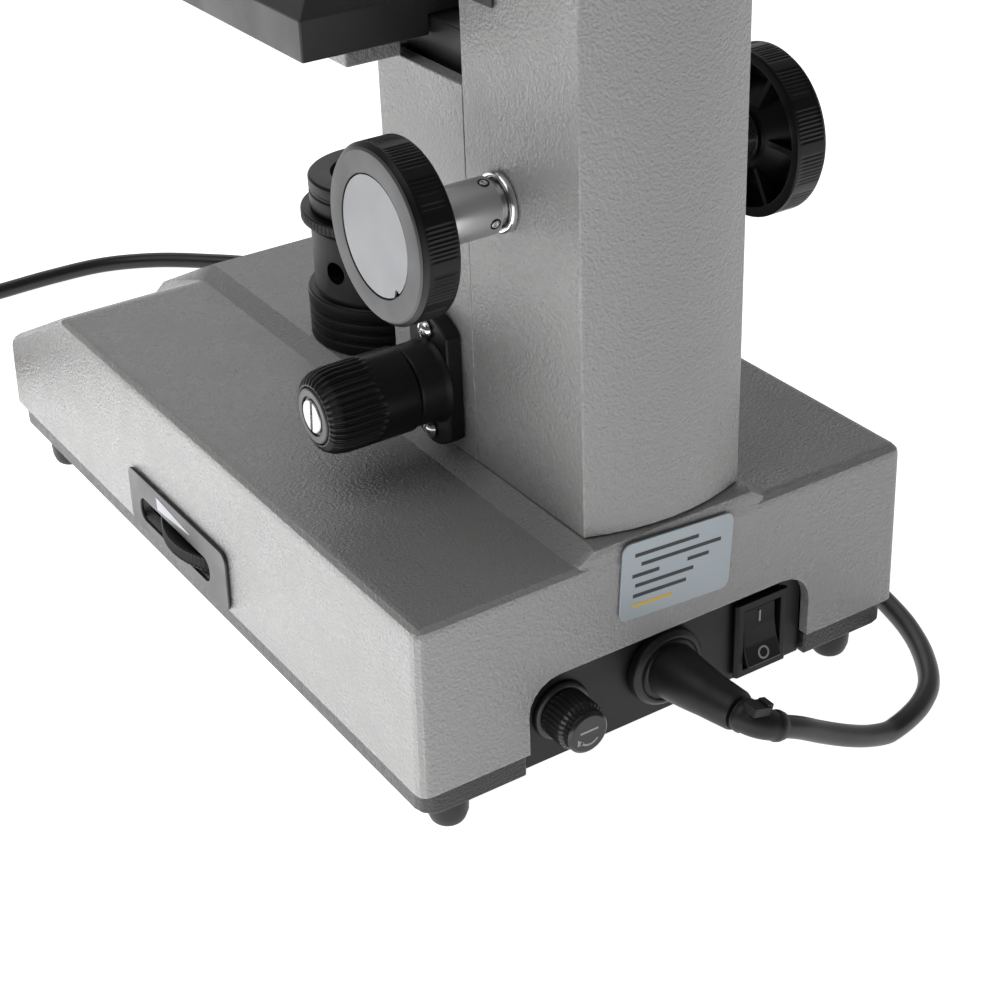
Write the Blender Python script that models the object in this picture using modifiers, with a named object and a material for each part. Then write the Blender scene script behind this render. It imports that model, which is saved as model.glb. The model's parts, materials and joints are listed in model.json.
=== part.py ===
"""Compound microscope with a lit base, rack focusing and a three-place nosepiece.

Sizes are in millimetres in this file and are turned into metres as each mesh is made.
+Z is up, -Y is the stage side that faces the user, +Y is the side with the mains inlet.
The origin is on the table, under the middle of the base.
"""

from math import cos, pi, radians, sin

import bmesh
import bpy
from mathutils import Matrix, Vector

NAME = "compound_microscope"
MM = 0.001
GAP = 0.3            # clearance between pieces that touch
ROUND = 28           # sides of a large turned piece
SMALL = 16           # sides of a small one
HOLE = 12            # sides of a screw hole or another small hole

# Base casting
BASE_HALF_W = 73.8   # at the underside; the walls lean in as they rise
DRAFT = 0.02
BASE_REAR = 122.0
BASE_FRONT = -131.3
SHELL_Z = 18.0       # underside of the casting
DECK_Z = 65.0        # upper face beside the raised band
CREST_Y = -81.0      # where the upper face starts to slope down
BROW = (-129.4, 40.6)
WALL = 3.0
EDGE = 3.0           # rounding of its edges
BAND_Z = 68.5        # raised band that carries the arm and the lamp
BAND_TOP_HALF = 23.4
BAND_FOOT_HALF = 28.8
BAND_TAPER = 0.9     # how much narrower it is at the front
ROOT = 6.0           # how deep the band is sunk into the casting before they are joined
PLATE_Z = 11.0       # underside of the base plate
RECESS_HALF = 43.3
RECESS_TOP = 38.0

# Rear panel
PANEL_Y = 118.7
LABEL_TILT = radians(3.6)
FUSE_X, FUSE_Z = 32.3, 25.0
GLAND_X, GLAND_Z = 1.6, 26.0
SWITCH_X, SWITCH_Z = -29.0, 23.55
ROCKER_Y = 119.3

# Dimmer wheel on the +X side
WHEEL_X, WHEEL_Y, WHEEL_R = 47.4, -4.0, 30.0
WHEEL_Z = (23.7, 28.3)

# Light path
AXIS_Y = -12.0

# Arm and focusing
ARM_HALF = 23.0
ARM_FRONT, ARM_CORNER, ARM_BACK = 71.0, 116.5, 121.0
ARM_TOP = 307.0
LIMB_Z = 277.0
COVER_FRONT, COVER_TOP, COVER_WALL = 32.5, 166.5, 4.0
COARSE_Y, COARSE_Z = 85.8, 143.3
KNOB_R = 20.8
KNOB_SPAN = (46.8, 56.4)
PINION_R = 7.0
SHAFT_R = 3.0
FINE_Y, FINE_Z = 57.0, 87.9

# Stage
STAGE_HALF = 51.5
STAGE_FRONT, STAGE_REAR = -66.8, 48.8
STAGE_Z, STAGE_TOP = 171.5, 186.0

# Nosepiece: the turret leans back, so the objective in use stands upright
APEX_Z = 312.0
LEAN = radians(18)
SEAT = 57.0          # from the apex to the face that an objective screws on to
TURRET_DIR = Vector((0, sin(LEAN), -cos(LEAN)))
APEX = Vector((0, AXIS_Y, APEX_Z))

# Mains cord
CORD_R = 2.9
CORD_Z = CORD_R + 0.1   # its middle, where it lies on the table
CORD_STEP = 12.5      # distance between the tube's points
COIL_SPOT = (96.0, -213.0, 0.0)
COIL_R = 30.0        # to the middle of the turns
COIL_STEP = 5.9      # from one turn to the next: three turns side by side, in two layers
COIL_WIDE, COIL_TALL, COIL_LOW = 3 * COIL_STEP + 0.1, 2 * COIL_STEP + 0.1, 1.5
PLUG_TALL = 13.7
PLUG_OFFSET = 26.0   # the plug's cord end, beyond the coil's middle


# ---------------------------------------------------------------- helpers

def clear_scene():
    for obj in list(bpy.data.objects):
        bpy.data.objects.remove(obj, do_unlink=True)


def collection(name, hidden=False):
    made = bpy.data.collections.new(name)
    bpy.context.scene.collection.children.link(made)
    made.hide_render = hidden
    return made


def material(name, colour, roughness, metallic=0.0):
    made = bpy.data.materials.new(name)
    made.use_nodes = True
    shader = made.node_tree.nodes["Principled BSDF"]
    shader.inputs["Base Color"].default_value = (*colour, 1)
    shader.inputs["Roughness"].default_value = roughness
    shader.inputs["Metallic"].default_value = metallic
    return made


def add(name, mesh, look=None):
    """A solid in the model's collection, or a hidden cutter when it has no look."""
    obj = bpy.data.objects.new(name, mesh)
    if look is None:
        CUTTERS.objects.link(obj)
        obj.hide_render = True
        obj.display_type = "WIRE"
    else:
        MODEL.objects.link(obj)
        made = material(name, *LOOKS[look])
        obj.data.materials.append(made)
    return obj


def mesh_from(bm, name):
    bmesh.ops.recalc_face_normals(bm, faces=bm.faces)
    mesh = bpy.data.meshes.new(name)
    bm.to_mesh(mesh)
    bm.free()
    return mesh


def box(name, x, y, z, look=None, bevel=0.0, along="XYZ", segments=2, top_only=False):
    """A box between two values on each axis, with its edges along the named axes rounded."""
    bm = bmesh.new()
    bmesh.ops.create_cube(bm, size=1)
    size = [b - a for a, b in (x, y, z)]
    middle = [(a + b) / 2 for a, b in (x, y, z)]
    bmesh.ops.scale(bm, vec=[s * MM for s in size], verts=bm.verts)
    if bevel:
        chosen = []
        for edge in bm.edges:
            step = edge.verts[0].co - edge.verts[1].co
            axis = "XYZ"[max(range(3), key=lambda i: abs(step[i]))]
            high = min(v.co.z for v in edge.verts) > 0 or not top_only
            if axis in along and high:
                chosen.append(edge)
        bmesh.ops.bevel(bm, geom=chosen, offset=bevel * MM, segments=segments,
                        profile=0.5, affect="EDGES", clamp_overlap=True)
    bmesh.ops.translate(bm, vec=[m * MM for m in middle], verts=bm.verts)
    return add(name, mesh_from(bm, name), look)


def prism(name, outline, span, axis, look=None, bevel=0.0, segments=3, keep_sharp=None):
    """An outline in the plane across the axis, drawn out over the span along it."""
    bm = bmesh.new()

    def place(point, along):
        a, b = point
        spot = {"X": (along, a, b), "Y": (a, along, b), "Z": (a, b, along)}[axis]
        return [c * MM for c in spot]

    ends = [[bm.verts.new(place(p, s)) for p in outline] for s in span]
    bm.faces.new(ends[0])
    bm.faces.new(reversed(ends[1]))
    count = len(outline)
    for i in range(count):
        j = (i + 1) % count
        bm.faces.new((ends[0][i], ends[0][j], ends[1][j], ends[1][i]))
    if bevel:
        bmesh.ops.recalc_face_normals(bm, faces=bm.faces)
        chosen = [e for e in bm.edges if not (keep_sharp and keep_sharp(e))]
        bmesh.ops.bevel(bm, geom=chosen, offset=bevel * MM, segments=segments,
                        profile=0.5, affect="EDGES", clamp_overlap=True)
    return add(name, mesh_from(bm, name), look)


def turned(name, profile, spot, axis, look=None, steps=ROUND, closed=False):
    """A profile of (radius, height) points, top to bottom, turned about the axis direction."""
    verts = [(r * MM, 0, h * MM) for r, h in profile]
    edges = [(i, i + 1) for i in range(len(verts) - 1)]
    if closed:
        edges.append((len(verts) - 1, 0))
    mesh = bpy.data.meshes.new(name)
    mesh.from_pydata(verts, edges, [])
    obj = add(name, mesh, look)
    screw = obj.modifiers.new("Turn", "SCREW")
    screw.steps = screw.render_steps = steps
    screw.use_merge_vertices = True
    screw.merge_threshold = 0.00005
    screw.use_smooth_shade = True
    turn = Vector((0, 0, 1)).rotation_difference(Vector(axis).normalized())
    obj.matrix_world = Matrix.Translation(Vector(spot) * MM) @ turn.to_matrix().to_4x4()
    return obj


def rod(name, radius, spot, axis, length, look=None, steps=SMALL):
    """A plain cylinder from the spot along the axis."""
    return turned(name, [(0, length), (radius, length), (radius, 0), (0, 0)], spot, axis, look, steps)


def combine(obj, other, operation):
    step = obj.modifiers.new(operation.title(), "BOOLEAN")
    step.operation = operation
    step.solver = "EXACT"
    step.object = other
    return obj


def cut(obj, *others):
    for other in others:
        combine(obj, other, "DIFFERENCE")
    return obj


def join(obj, *others):
    for other in others:
        combine(obj, other, "UNION")
    return obj


def smooth_path(points, spacing):
    """Points evenly spaced on a smooth curve through the route's own points."""
    route = [Vector(p) for p in points]
    route = [2 * route[0] - route[1]] + route + [2 * route[-1] - route[-2]]
    dense = []
    for i in range(1, len(route) - 2):
        p0, p1, p2, p3 = route[i - 1:i + 3]
        for k in range(24):
            t = k / 24
            dense.append(0.5 * (2 * p1 + (p2 - p0) * t + (2 * p0 - 5 * p1 + 4 * p2 - p3) * t * t
                                + (3 * p1 - p0 - 3 * p2 + p3) * t ** 3))
    dense.append(route[-2])
    total = sum((b - a).length for a, b in zip(dense, dense[1:]))
    count = max(2, round(total / spacing))
    found, walked, step = [dense[0]], 0.0, total / count
    for a, b in zip(dense, dense[1:]):
        length = (b - a).length
        while walked + length >= step * len(found) and len(found) < count:
            found.append(a.lerp(b, (step * len(found) - walked) / length))
        walked += length
    return found + [dense[-1]]


def tube(name, points, radii, look, resolution=3):
    """A POLY curve through the points, with a radius for each."""
    curve = bpy.data.curves.new(name, "CURVE")
    curve.dimensions = "3D"
    curve.bevel_depth = MM
    curve.bevel_resolution = resolution
    curve.use_fill_caps = True
    curve.resolution_u = 1
    line = curve.splines.new("POLY")
    line.points.add(len(points) - 1)
    for spot, point, radius in zip(line.points, points, radii):
        spot.co = (*(Vector(point) * MM), 1)
        spot.radius = radius
    obj = bpy.data.objects.new(name, curve)
    MODEL.objects.link(obj)
    curve.materials.append(material(name, *LOOKS[look]))
    return obj


def hold(name, spot, *objects):
    """An empty on a joint's axis that carries the pieces which move with it."""
    empty = bpy.data.objects.new(name, None)
    empty.empty_display_size = 0.01
    empty.location = Vector(spot) * MM
    MODEL.objects.link(empty)
    for obj in objects:
        obj.parent = empty
        obj.matrix_parent_inverse = Matrix.Translation(-empty.location)
    return empty


def rounded(half_x, half_y, radius, steps=5):
    """Corner points of a rounded rectangle about the origin."""
    points = []
    for index, (sx, sy) in enumerate(((1, 1), (-1, 1), (-1, -1), (1, -1))):
        for k in range(steps + 1):
            turn = pi / 2 * (index + k / steps)
            points.append((sx * (half_x - radius) + radius * cos(turn),
                           sy * (half_y - radius) + radius * sin(turn)))
    return points


def shifted(points, dx, dy):
    return [(x + dx, y + dy) for x, y in points]


# ---------------------------------------------------------------- base

def base_profile(inset=0.0, bottom=SHELL_Z):
    brow_y, brow_z = BROW
    return [(BASE_FRONT + inset, bottom), (BASE_REAR - inset, bottom),
            (BASE_REAR - inset, DECK_Z - inset), (CREST_Y + inset / 2, DECK_Z - inset),
            (brow_y + inset, brow_z - inset / 2)]


def raised_band():
    """The band follows the casting's upper face from the rear edge down over the brow."""
    rise = BAND_Z - DECK_Z
    slope = Vector((BROW[0] - CREST_Y, BROW[1] - DECK_Z)).normalized()
    normal = Vector((slope.y, -slope.x))
    upright = Vector((0, 1))
    stations = [(Vector((BASE_REAR - back, DECK_Z)), upright, rise - drop)
                for back, drop in ((0.3, 2.6), (0.9, 0.9), (2.6, 0))]
    stations.append((Vector((CREST_Y, DECK_Z)), (upright + normal).normalized(), rise))
    for share in (0.35, 0.65, 0.88):
        spot = Vector((CREST_Y, DECK_Z)) + slope * share * 52.0
        stations.append((spot, normal, rise))
    stations.append((Vector(BROW) + Vector((-1.0, -6.0)), Vector((-1, 0.2)).normalized(), 0.6))
    bm = bmesh.new()
    rings = []
    for spot, out, height in stations:
        low, high = spot - out * ROOT, spot + out * height
        share = min(1, (BASE_REAR - spot.x) / (BASE_REAR - CREST_Y))
        scale = 1 - (1 - BAND_TAPER) * share
        foot = BAND_TOP_HALF + (BAND_FOOT_HALF - BAND_TOP_HALF) * height / rise
        half = ((foot * scale, low), (foot * scale, spot), (BAND_TOP_HALF * scale, high))
        around = half + tuple((-x, p) for x, p in reversed(half))
        rings.append([bm.verts.new((x * MM, p.x * MM, p.y * MM)) for x, p in around])
    for near, far in zip(rings, rings[1:]):
        for i in range(6):
            j = (i + 1) % 6
            bm.faces.new((near[i], near[j], far[j], far[i]))
    bm.faces.new(rings[0])
    bm.faces.new(rings[-1])
    return add("cut_band", mesh_from(bm, "cut_band"))


def lean_in(obj):
    """Draft: moves each point towards the middle in step with its height."""
    for vertex in obj.data.vertices:
        side = 1 if vertex.co.x > 0 else -1
        vertex.co.x -= side * DRAFT * (vertex.co.z - SHELL_Z * MM)
    return obj


def base_shell():
    def on_floor(edge):
        return all(v.co.z < (SHELL_Z + 0.1) * MM for v in edge.verts)

    shell = prism("base_shell", base_profile(), (-BASE_HALF_W, BASE_HALF_W), "X", "paint",
                  bevel=EDGE, keep_sharp=on_floor)
    join(lean_in(shell), raised_band())
    inside = lean_in(prism("cut_inside", base_profile(WALL, SHELL_Z - 3),
                           (-BASE_HALF_W + WALL, BASE_HALF_W - WALL), "X"))
    recess = prism("cut_recess", shifted(rounded(RECESS_HALF, 20, 9), 0, RECESS_TOP - 20),
                   (BASE_REAR - 6, BASE_REAR + 3), "Y")
    slot = box("cut_wheel_slot", (BASE_HALF_W - 6, BASE_HALF_W + 3), (-31, 17.5), (22.3, 29.7))
    wires = rod("cut_lamp_wires", 6, (0, AXIS_Y, DECK_Z - 8), (0, 0, 1), 20)
    return cut(shell, inside, recess, slot, wires)


def base_plate():
    half = BASE_HALF_W - 1.3
    plate = box("base_plate", (-half, half), (BASE_FRONT + 1.5, BASE_REAR - 1.3),
                (PLATE_Z, SHELL_Z - GAP), "black_paint", bevel=5.0, along="Z", segments=3)
    notch = box("cut_plate_notch", (-RECESS_HALF - GAP, RECESS_HALF + GAP),
                (PANEL_Y - 1.8, BASE_REAR + 2), (PLATE_Z - 2, SHELL_Z + 2))
    behind_switch = box("cut_plate_switch", (SWITCH_X - 7.6, SWITCH_X + 7.6), (102, BASE_REAR),
                        (PLATE_Z - 2, SHELL_Z + 2))
    return cut(plate, notch, behind_switch)


def feet():
    top = PLATE_Z - GAP
    shape = [(0, top), (5.4, top), (5.2, 3.5), (4.2, 0.9), (3.2, 0), (0, 0)]
    for name, x, y in (("foot_rear_R", 61, 111.5), ("foot_rear_L", -61, 111.5),
                       ("foot_front_R", 65, -113), ("foot_front_L", -65, -113)):
        turned(name, shape, (x, y, 0), (0, 0, 1), "rubber", SMALL)


def rear_panel():
    panel = box("rear_panel", (-43.2, 43.2), (PANEL_Y - 1.5, PANEL_Y), (PLATE_Z + GAP, 42), "black_metal")
    behind = PANEL_Y - 4
    return cut(panel,
               rod("cut_fuse_hole", 6.3, (FUSE_X, behind, FUSE_Z), (0, 1, 0), 8),
               rod("cut_gland_hole", 5.4, (GLAND_X, behind, GLAND_Z), (0, 1, 0), 8),
               box("cut_switch_hole", (SWITCH_X - 7.4, SWITCH_X + 7.4), (behind, PANEL_Y + 3),
                   (SWITCH_Z - 9.95, SWITCH_Z + 9.95)))


def power_switch():
    face = PANEL_Y + GAP
    body = box("switch_body", (SWITCH_X - 8.4, SWITCH_X + 8.4), (face, face + 1.9),
               (SWITCH_Z - 11.05, SWITCH_Z + 11.05), "plastic", bevel=0.7, along="Z", segments=1)
    rear = box("cut_switch_rear", (SWITCH_X - 7.1, SWITCH_X + 7.1), (103, face + 0.5),
               (SWITCH_Z - 9.65, SWITCH_Z + 9.65))
    pocket = box("cut_switch_pocket", (SWITCH_X - 6, SWITCH_X + 6), (112.5, face + 5),
                 (SWITCH_Z - 8.85, SWITCH_Z + 8.85))
    cut(join(body, rear), pocket)
    y, z = ROCKER_Y, SWITCH_Z
    outline = [(y + 3.6, z - 7.9), (y + 1.3, z - 2.5), (y + 0.5, z + 2.0), (y + 0.2, z + 8.1),
               (y - 2.2, z + 7.9), (y - 4.2, z), (y - 2.2, z - 8.1)]
    rocker = prism("switch_rocker", outline, (SWITCH_X - 5.6, SWITCH_X + 5.6), "X", "plastic",
                   bevel=0.5, segments=1)
    hold("rocker_axis", (SWITCH_X, y, z), rocker)


def fuse():
    face = PANEL_Y + GAP
    spot = (FUSE_X, 0, FUSE_Z)
    rim = face + 1.4
    turned("fuse_holder", [(0, 104), (4.9, 104), (4.9, rim), (7.6, rim), (8.0, face + 0.8),
                           (8.0, face), (6.0, face), (6.0, 96), (0, 96)],
           spot, (0, 1, 0), "plastic", SMALL)
    top = face + 1.4 + GAP
    cap = turned("fuse_cap", [(0, 131.0), (4.9, 131.0), (5.7, 130.4), (5.7, 127.8), (6.6, 127.2),
                              (6.6, top), (4.6, top), (4.6, 106), (0, 106)],
                 spot, (0, 1, 0), "plastic", SMALL)
    hold("fuse_axis", (FUSE_X, face, FUSE_Z), cap)


def rating_label():
    turn = Matrix.Rotation(LABEL_TILT, 2)
    outline = [turn @ Vector(point) for point in rounded(16.7, 10.6, 2.5)]
    face = BASE_REAR + GAP
    prism("label_plate", shifted(outline, 0.2, 55.6), (face, face + 0.5), "Y", "label")


def dimmer():
    side = BASE_HALF_W + GAP
    outline = shifted(rounded(30.8, 9.1, 3.0), -5.9, 27.6)
    plate = prism("dimmer_plate", outline, (side, side + 0.9), "X", "plate")
    slot = prism("cut_dimmer_slot", shifted(rounded(22.1, 3.6, 3.0), -7.8, 26.0), (side - 2, side + 3), "X")
    lean_in(cut(plate, slot))
    low, high = WHEEL_Z
    edge = WHEEL_R - 0.6
    profile = [(0, 34.9), (3, 34.9), (3, high), (edge, high), (WHEEL_R, high - 0.6),
               (WHEEL_R, low + 0.6), (edge, low), (0, low)]
    wheel = turned("dimmer_wheel", profile, (WHEEL_X, WHEEL_Y, 0), (0, 0, 1), "plastic", 40)
    turned("dimmer_pot", [(0, 39), (8, 39), (8, high + 0.9), (3.3, high + 0.9), (3.3, 35.5), (0, 35.5)],
           (WHEEL_X, WHEEL_Y, 0), (0, 0, 1), "brass", SMALL)
    hold("dimmer_axis", (WHEEL_X, WHEEL_Y, low), wheel)


def power_board():
    board = box("power_board", (-30, 30), (30, 85), (20, 21.6), "board")
    blocks = [box("cut_transformer", (-24, -2), (40, 62), (21, 38)),
              box("cut_capacitor", (8, 20), (44, 56), (21, 34))]
    blocks += [box(f"cut_standoff_{i}", (x - 2.5, x + 2.5), (y - 2.5, y + 2.5), (SHELL_Z, 20.5))
               for i, (x, y) in enumerate(((-26, 34), (26, 34), (-26, 81), (26, 81)))]
    return join(board, *blocks)


# ---------------------------------------------------------------- lamp

def lamp():
    spot = (0, AXIS_Y, 0)
    foot, step, top = BAND_Z + GAP, 83.1, 101.6
    outer = [(15.5, top), (19.8, top), (19.8, step), (21.4, step), (22, step - 0.6)]
    for groove in (78.7, 74.3):
        outer += [(22, groove), (21, groove - 0.7), (22, groove - 1.4)]
    outer += [(22, foot), (15.5, foot)]
    housing = turned("lamp_housing", outer, spot, (0, 0, 1), "anodised", ROUND, closed=True)
    for k in range(3):
        turn = radians(21 + 60 * k)
        aim = Vector((cos(turn), sin(turn), 0))
        cut(housing, rod(f"cut_vent_{k}", 3.2, Vector((0, AXIS_Y, 91.5)) - aim * 25, aim, 50, steps=HOLE))
    turned("lamp_collar", [(15.5, 106.5), (22.3, 106.5), (22.3, 103.6), (20.4, 101.9), (15.5, 101.9)],
           spot, (0, 0, 1), "anodised", ROUND, closed=True)
    turned("lamp_top_ring", [(13.3, 115.8), (19.0, 115.8), (19.6, 115.2), (19.6, 106.8), (11, 106.8),
                             (11, 112), (13.3, 112)], spot, (0, 0, 1), "anodised", ROUND, closed=True)
    turned("lamp_lens", [(0, 115.9), (7, 115.5), (13, 114.2), (13, 112.3), (0, 112.3)],
           spot, (0, 0, 1), "glass", ROUND)
    board = foot + 0.2
    turned("led_emitter", [(0, 76.5), (2.2, 76), (3, 74.5), (3, 72), (11, 72), (11, board), (0, board)],
           spot, (0, 0, 1), "led", SMALL)


# ---------------------------------------------------------------- arm and focusing

def arm_outline():
    bulge = ARM_BACK - ARM_CORNER
    rear = [(ARM_HALF * (1 - 2 * k / 8), ARM_CORNER + bulge * (1 - (1 - 2 * k / 8) ** 2)) for k in range(9)]
    return [(-ARM_HALF, ARM_FRONT), (ARM_HALF, ARM_FRONT)] + rear


def arm():
    foot = BAND_Z + GAP
    casting = prism("arm_casting", arm_outline(), (foot, ARM_TOP), "Z", "paint")
    limb = box("cut_limb", (-ARM_HALF, ARM_HALF), (AXIS_Y, ARM_FRONT + 5), (LIMB_Z, ARM_TOP))
    nose = rod("cut_limb_nose", 26, (0, AXIS_Y, LIMB_Z), (0, 0, 1), ARM_TOP - LIMB_Z, steps=ROUND)
    gusset = prism("cut_gusset", [(ARM_FRONT + 1, 238), (ARM_FRONT + 1, LIMB_Z + 1), (38, LIMB_Z + 1),
                                  (46, 270), (60, 258)], (-ARM_HALF, ARM_HALF), "X")
    channel = box("cut_channel", (-16, 16), (ARM_FRONT - 3, 100), (74, 236))
    light = rod("cut_light", 10, (0, AXIS_Y, LIMB_Z - 5), (0, 0, 1), 45)
    shaft = rod("cut_shaft_hole", SHAFT_R + 0.5, (-40, COARSE_Y, COARSE_Z), (1, 0, 0), 80)
    cut(join(casting, limb, nose, gusset), channel, light, shaft)
    inner, inside = ARM_HALF - COVER_WALL, COVER_FRONT + COVER_WALL
    back = ARM_FRONT - GAP
    outline = [(-ARM_HALF, back), (-ARM_HALF, COVER_FRONT), (ARM_HALF, COVER_FRONT), (ARM_HALF, back),
               (inner, back), (inner, inside), (-inner, inside), (-inner, back)]
    cover = prism("arm_cover", outline, (foot, COVER_TOP), "Z", "paint")
    cut(cover, rod("cut_fine_hole", SHAFT_R + 0.5, (10, FINE_Y, FINE_Z), (1, 0, 0), 20))
    box("side_strip", (ARM_HALF + GAP, ARM_HALF + GAP + 0.9), (76, 86), (187.8, 250), "plate")


def coarse_focus():
    spot = (0, COARSE_Y, COARSE_Z)
    inner, outer = KNOB_SPAN
    end, half = outer - 1.8, 5
    profile = [(0, end), (SHAFT_R, end), (SHAFT_R, half), (PINION_R, half), (PINION_R, -half),
               (SHAFT_R, -half), (SHAFT_R, -end), (0, -end)]
    shaft = turned("coarse_shaft", profile, spot, (1, 0, 0), "steel", SMALL)
    pieces = [shaft]
    for side in ("R", "L"):
        profile = [(0, outer - 1.0), (14.2, outer - 1.0), (14.2, outer), (19.6, outer), (KNOB_R, outer - 1.4),
                   (KNOB_R, inner), (18.2, inner), (18.2, inner + 5.4), (13.3, inner + 5.4), (8.1, inner),
                   (SHAFT_R + GAP, inner), (SHAFT_R + GAP, outer - 1.5), (0, outer - 1.5)]
        way = (1, 0, 0) if side == "R" else (-1, 0, 0)
        pieces.append(turned(f"coarse_knob_{side}", profile, spot, way, "knob", 36))
        neck, bore, top = ARM_HALF + GAP, SHAFT_R + 0.4, inner - GAP
        turned(f"coarse_sleeve_{side}", [(6.2, top), (6.8, top - 0.6), (6.8, neck + 3.6), (5.3, neck + 3.3),
                                         (5.3, neck), (bore, neck), (bore, top)],
               spot, way, "aluminium", SMALL, closed=True)
        face, foot = outer - 0.2, outer - 0.7
        disc = [(0, face), (13.4, face), (13.9, foot), (0, foot)]
        pieces.append(turned(f"coarse_cap_{side}", disc, spot, way, "silver", 36))
    turned("coarse_ring_R", [(6.4, ARM_HALF + 2.0), (7.3, ARM_HALF + 1.4), (7.3, ARM_HALF + GAP),
                             (5.7, ARM_HALF + GAP), (5.7, ARM_HALF + 1.4)],
           spot, (1, 0, 0), "chrome", SMALL, closed=True)
    hold("coarse_axis", spot, *pieces)


def fine_flange_outline():
    """Straight sides and shallow round ends, about the fine-focus axis."""
    half, corner, end = 8.9, 14.0, 18.0
    arc = [(half * (1 - 2 * k / 6), corner + (end - corner) * (1 - (1 - 2 * k / 6) ** 2)) for k in range(7)]
    return arc + [(-x, -z) for x, z in arc]


def fine_focus():
    spot = (0, FINE_Y, FINE_Z)
    base = ARM_HALF + GAP
    outline = shifted(fine_flange_outline(), FINE_Y, FINE_Z)
    plate = prism("fine_flange", outline, (base, base + 4.4), "X", "plastic")
    barrel = turned("cut_barrel", [(0, base + 12.7), (10.0, base + 12.7), (10.6, base + 12), (10.6, base + 2),
                                   (0, base + 2)], spot, (1, 0, 0))
    join(plate, barrel)
    cut(plate, rod("cut_fine_bore", SHAFT_R + 0.4, (base - 3, FINE_Y, FINE_Z), (1, 0, 0), 25))
    for name, rise in (("top", 13.8), ("bottom", -13.8)):
        at = (0, FINE_Y, FINE_Z + rise)
        cut(plate, rod(f"cut_screw_{name}", 1.6, (base - 1, FINE_Y, FINE_Z + rise), (1, 0, 0), 8, steps=HOLE))
        head, shank = base + 4.7, base + 0.3
        turned(f"fine_screw_{name}", [(0, base + 6.6), (1.5, base + 6.4), (2.5, base + 5.4), (2.5, head),
                                      (1.3, head), (1.3, shank), (0, shank)], at, (1, 0, 0), "chrome", HOLE)
    tip = base + 36.2
    knob = turned("fine_knob", [(0, tip), (7.4, tip), (7.4, tip + 1.2), (8.0, tip + 1.2), (9.7, tip + 0.2),
                                (10.7, tip - 2), (11.0, tip - 4.6), (11.0, base + 13.6), (10.6, base + 13.0),
                                (SHAFT_R, base + 13.0), (SHAFT_R, 6), (0, 6)], spot, (1, 0, 0), "plastic")
    cap = turned("fine_knob_cap", [(0, tip + 1.8), (4.7, tip + 1.8), (4.7, tip + 1.3), (5.1, tip + 1.3),
                                   (5.1, tip + 1.6), (7.1, tip + 1.6), (7.1, tip + GAP), (0, tip + GAP)],
                 spot, (1, 0, 0), "silver")
    hold("fine_axis", spot, knob, cap)


def slides():
    rail = box("fine_block", (-15.4, 15.4), (ARM_FRONT + GAP, 81.0), (84, 230), "steel")
    gap = box("cut_rail_gap", (-8.3, 8.3), (ARM_FRONT - 1, 82), (92, 231))
    cut(rail, gap)
    hold("fine_slide", (0, 77, 84), rail)
    carriage = box("carriage", (-17.2, 17.2), (COVER_FRONT + COVER_WALL + 0.5, ARM_FRONT - GAP),
                   (110, 176), "black_metal")
    rack = box("cut_rack", (-5, 5), (70, COARSE_Y - PINION_R - GAP), (112, 176))
    tongue = box("cut_tongue", (-17.2, 17.2), (6, 40), (STAGE_Z, 176))
    join(carriage, rack, tongue)
    return carriage


# ---------------------------------------------------------------- stage

def stage():
    top = box("stage_top", (-STAGE_HALF, STAGE_HALF), (STAGE_FRONT, STAGE_REAR), (STAGE_Z, STAGE_TOP),
              "stage", bevel=4.5, along="XY", segments=1, top_only=True)
    under = box("cut_stage_under", (-STAGE_HALF + 3, STAGE_HALF - 3), (STAGE_FRONT + 3, STAGE_REAR - 3),
                (STAGE_Z - 2, STAGE_TOP - 5.5))
    hole = rod("cut_stage_hole", 10, (0, AXIS_Y, STAGE_TOP - 10), (0, 0, 1), 20)
    door = box("cut_stage_door", (-17.6, 17.6), (STAGE_REAR - 6, STAGE_REAR + 2), (STAGE_Z - 2, 176.4))
    cut(top, under, hole, door)
    bracket = box("stage_bracket", (-38.6, 38.6), (-45, 45.6), (167, STAGE_Z - GAP), "paint")
    cut(bracket,
        box("cut_bracket_notch", (-ARM_HALF - 0.6, ARM_HALF + 0.6), (COVER_FRONT - 1.7, 50), (160, 175)),
        rod("cut_bracket_hole", 16, (0, AXIS_Y, 160), (0, 0, 1), 15))
    disc_y = AXIS_Y - 18
    hub, face, under = 166.7, 165.7, 163.5
    disc = turned("diaphragm_disc", [(0, hub), (4, hub), (4, face), (25, face), (25, under), (0, under)],
                  (0, disc_y, 0), (0, 0, 1), "black_metal", ROUND)
    for k, radius in enumerate((8, 6, 4.5, 3, 1.8)):
        turn = radians(90 + 72 * k)
        cut(disc, rod(f"cut_aperture_{k}", radius, (18 * cos(turn), disc_y + 18 * sin(turn), 160),
                      (0, 0, 1), 10, steps=HOLE))
    clips = []
    for side, way in (("R", 1), ("L", -1)):
        x, y, low = 37 * way, 34, STAGE_TOP + GAP
        clip = turned(f"clip_{side}", [(0, low + 4), (3.4, low + 4), (4, low + 3.4), (4, low), (0, low)],
                      (x, y, 0), (0, 0, 1), "steel", SMALL)
        blade = box(f"cut_blade_{side}", (x - 3.5, x + 3.5), (y - 56, y + 2), (low + 0.5, low + 1.5),
                    bevel=2.5, along="Z")
        join(clip, blade)
        hold(f"clip_axis_{side}", (x, y, low), clip)
        clips.append(clip)
    return [top, bracket, disc]


# ---------------------------------------------------------------- nosepiece and head

def objective_axis(index):
    """Direction of an objective: the turret's axis leaned outwards, a third of a turn apart."""
    lean = Matrix.Rotation(-LEAN, 3, "X") @ TURRET_DIR
    return Matrix.Rotation(2 * pi * index / 3, 3, TURRET_DIR) @ lean


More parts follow.
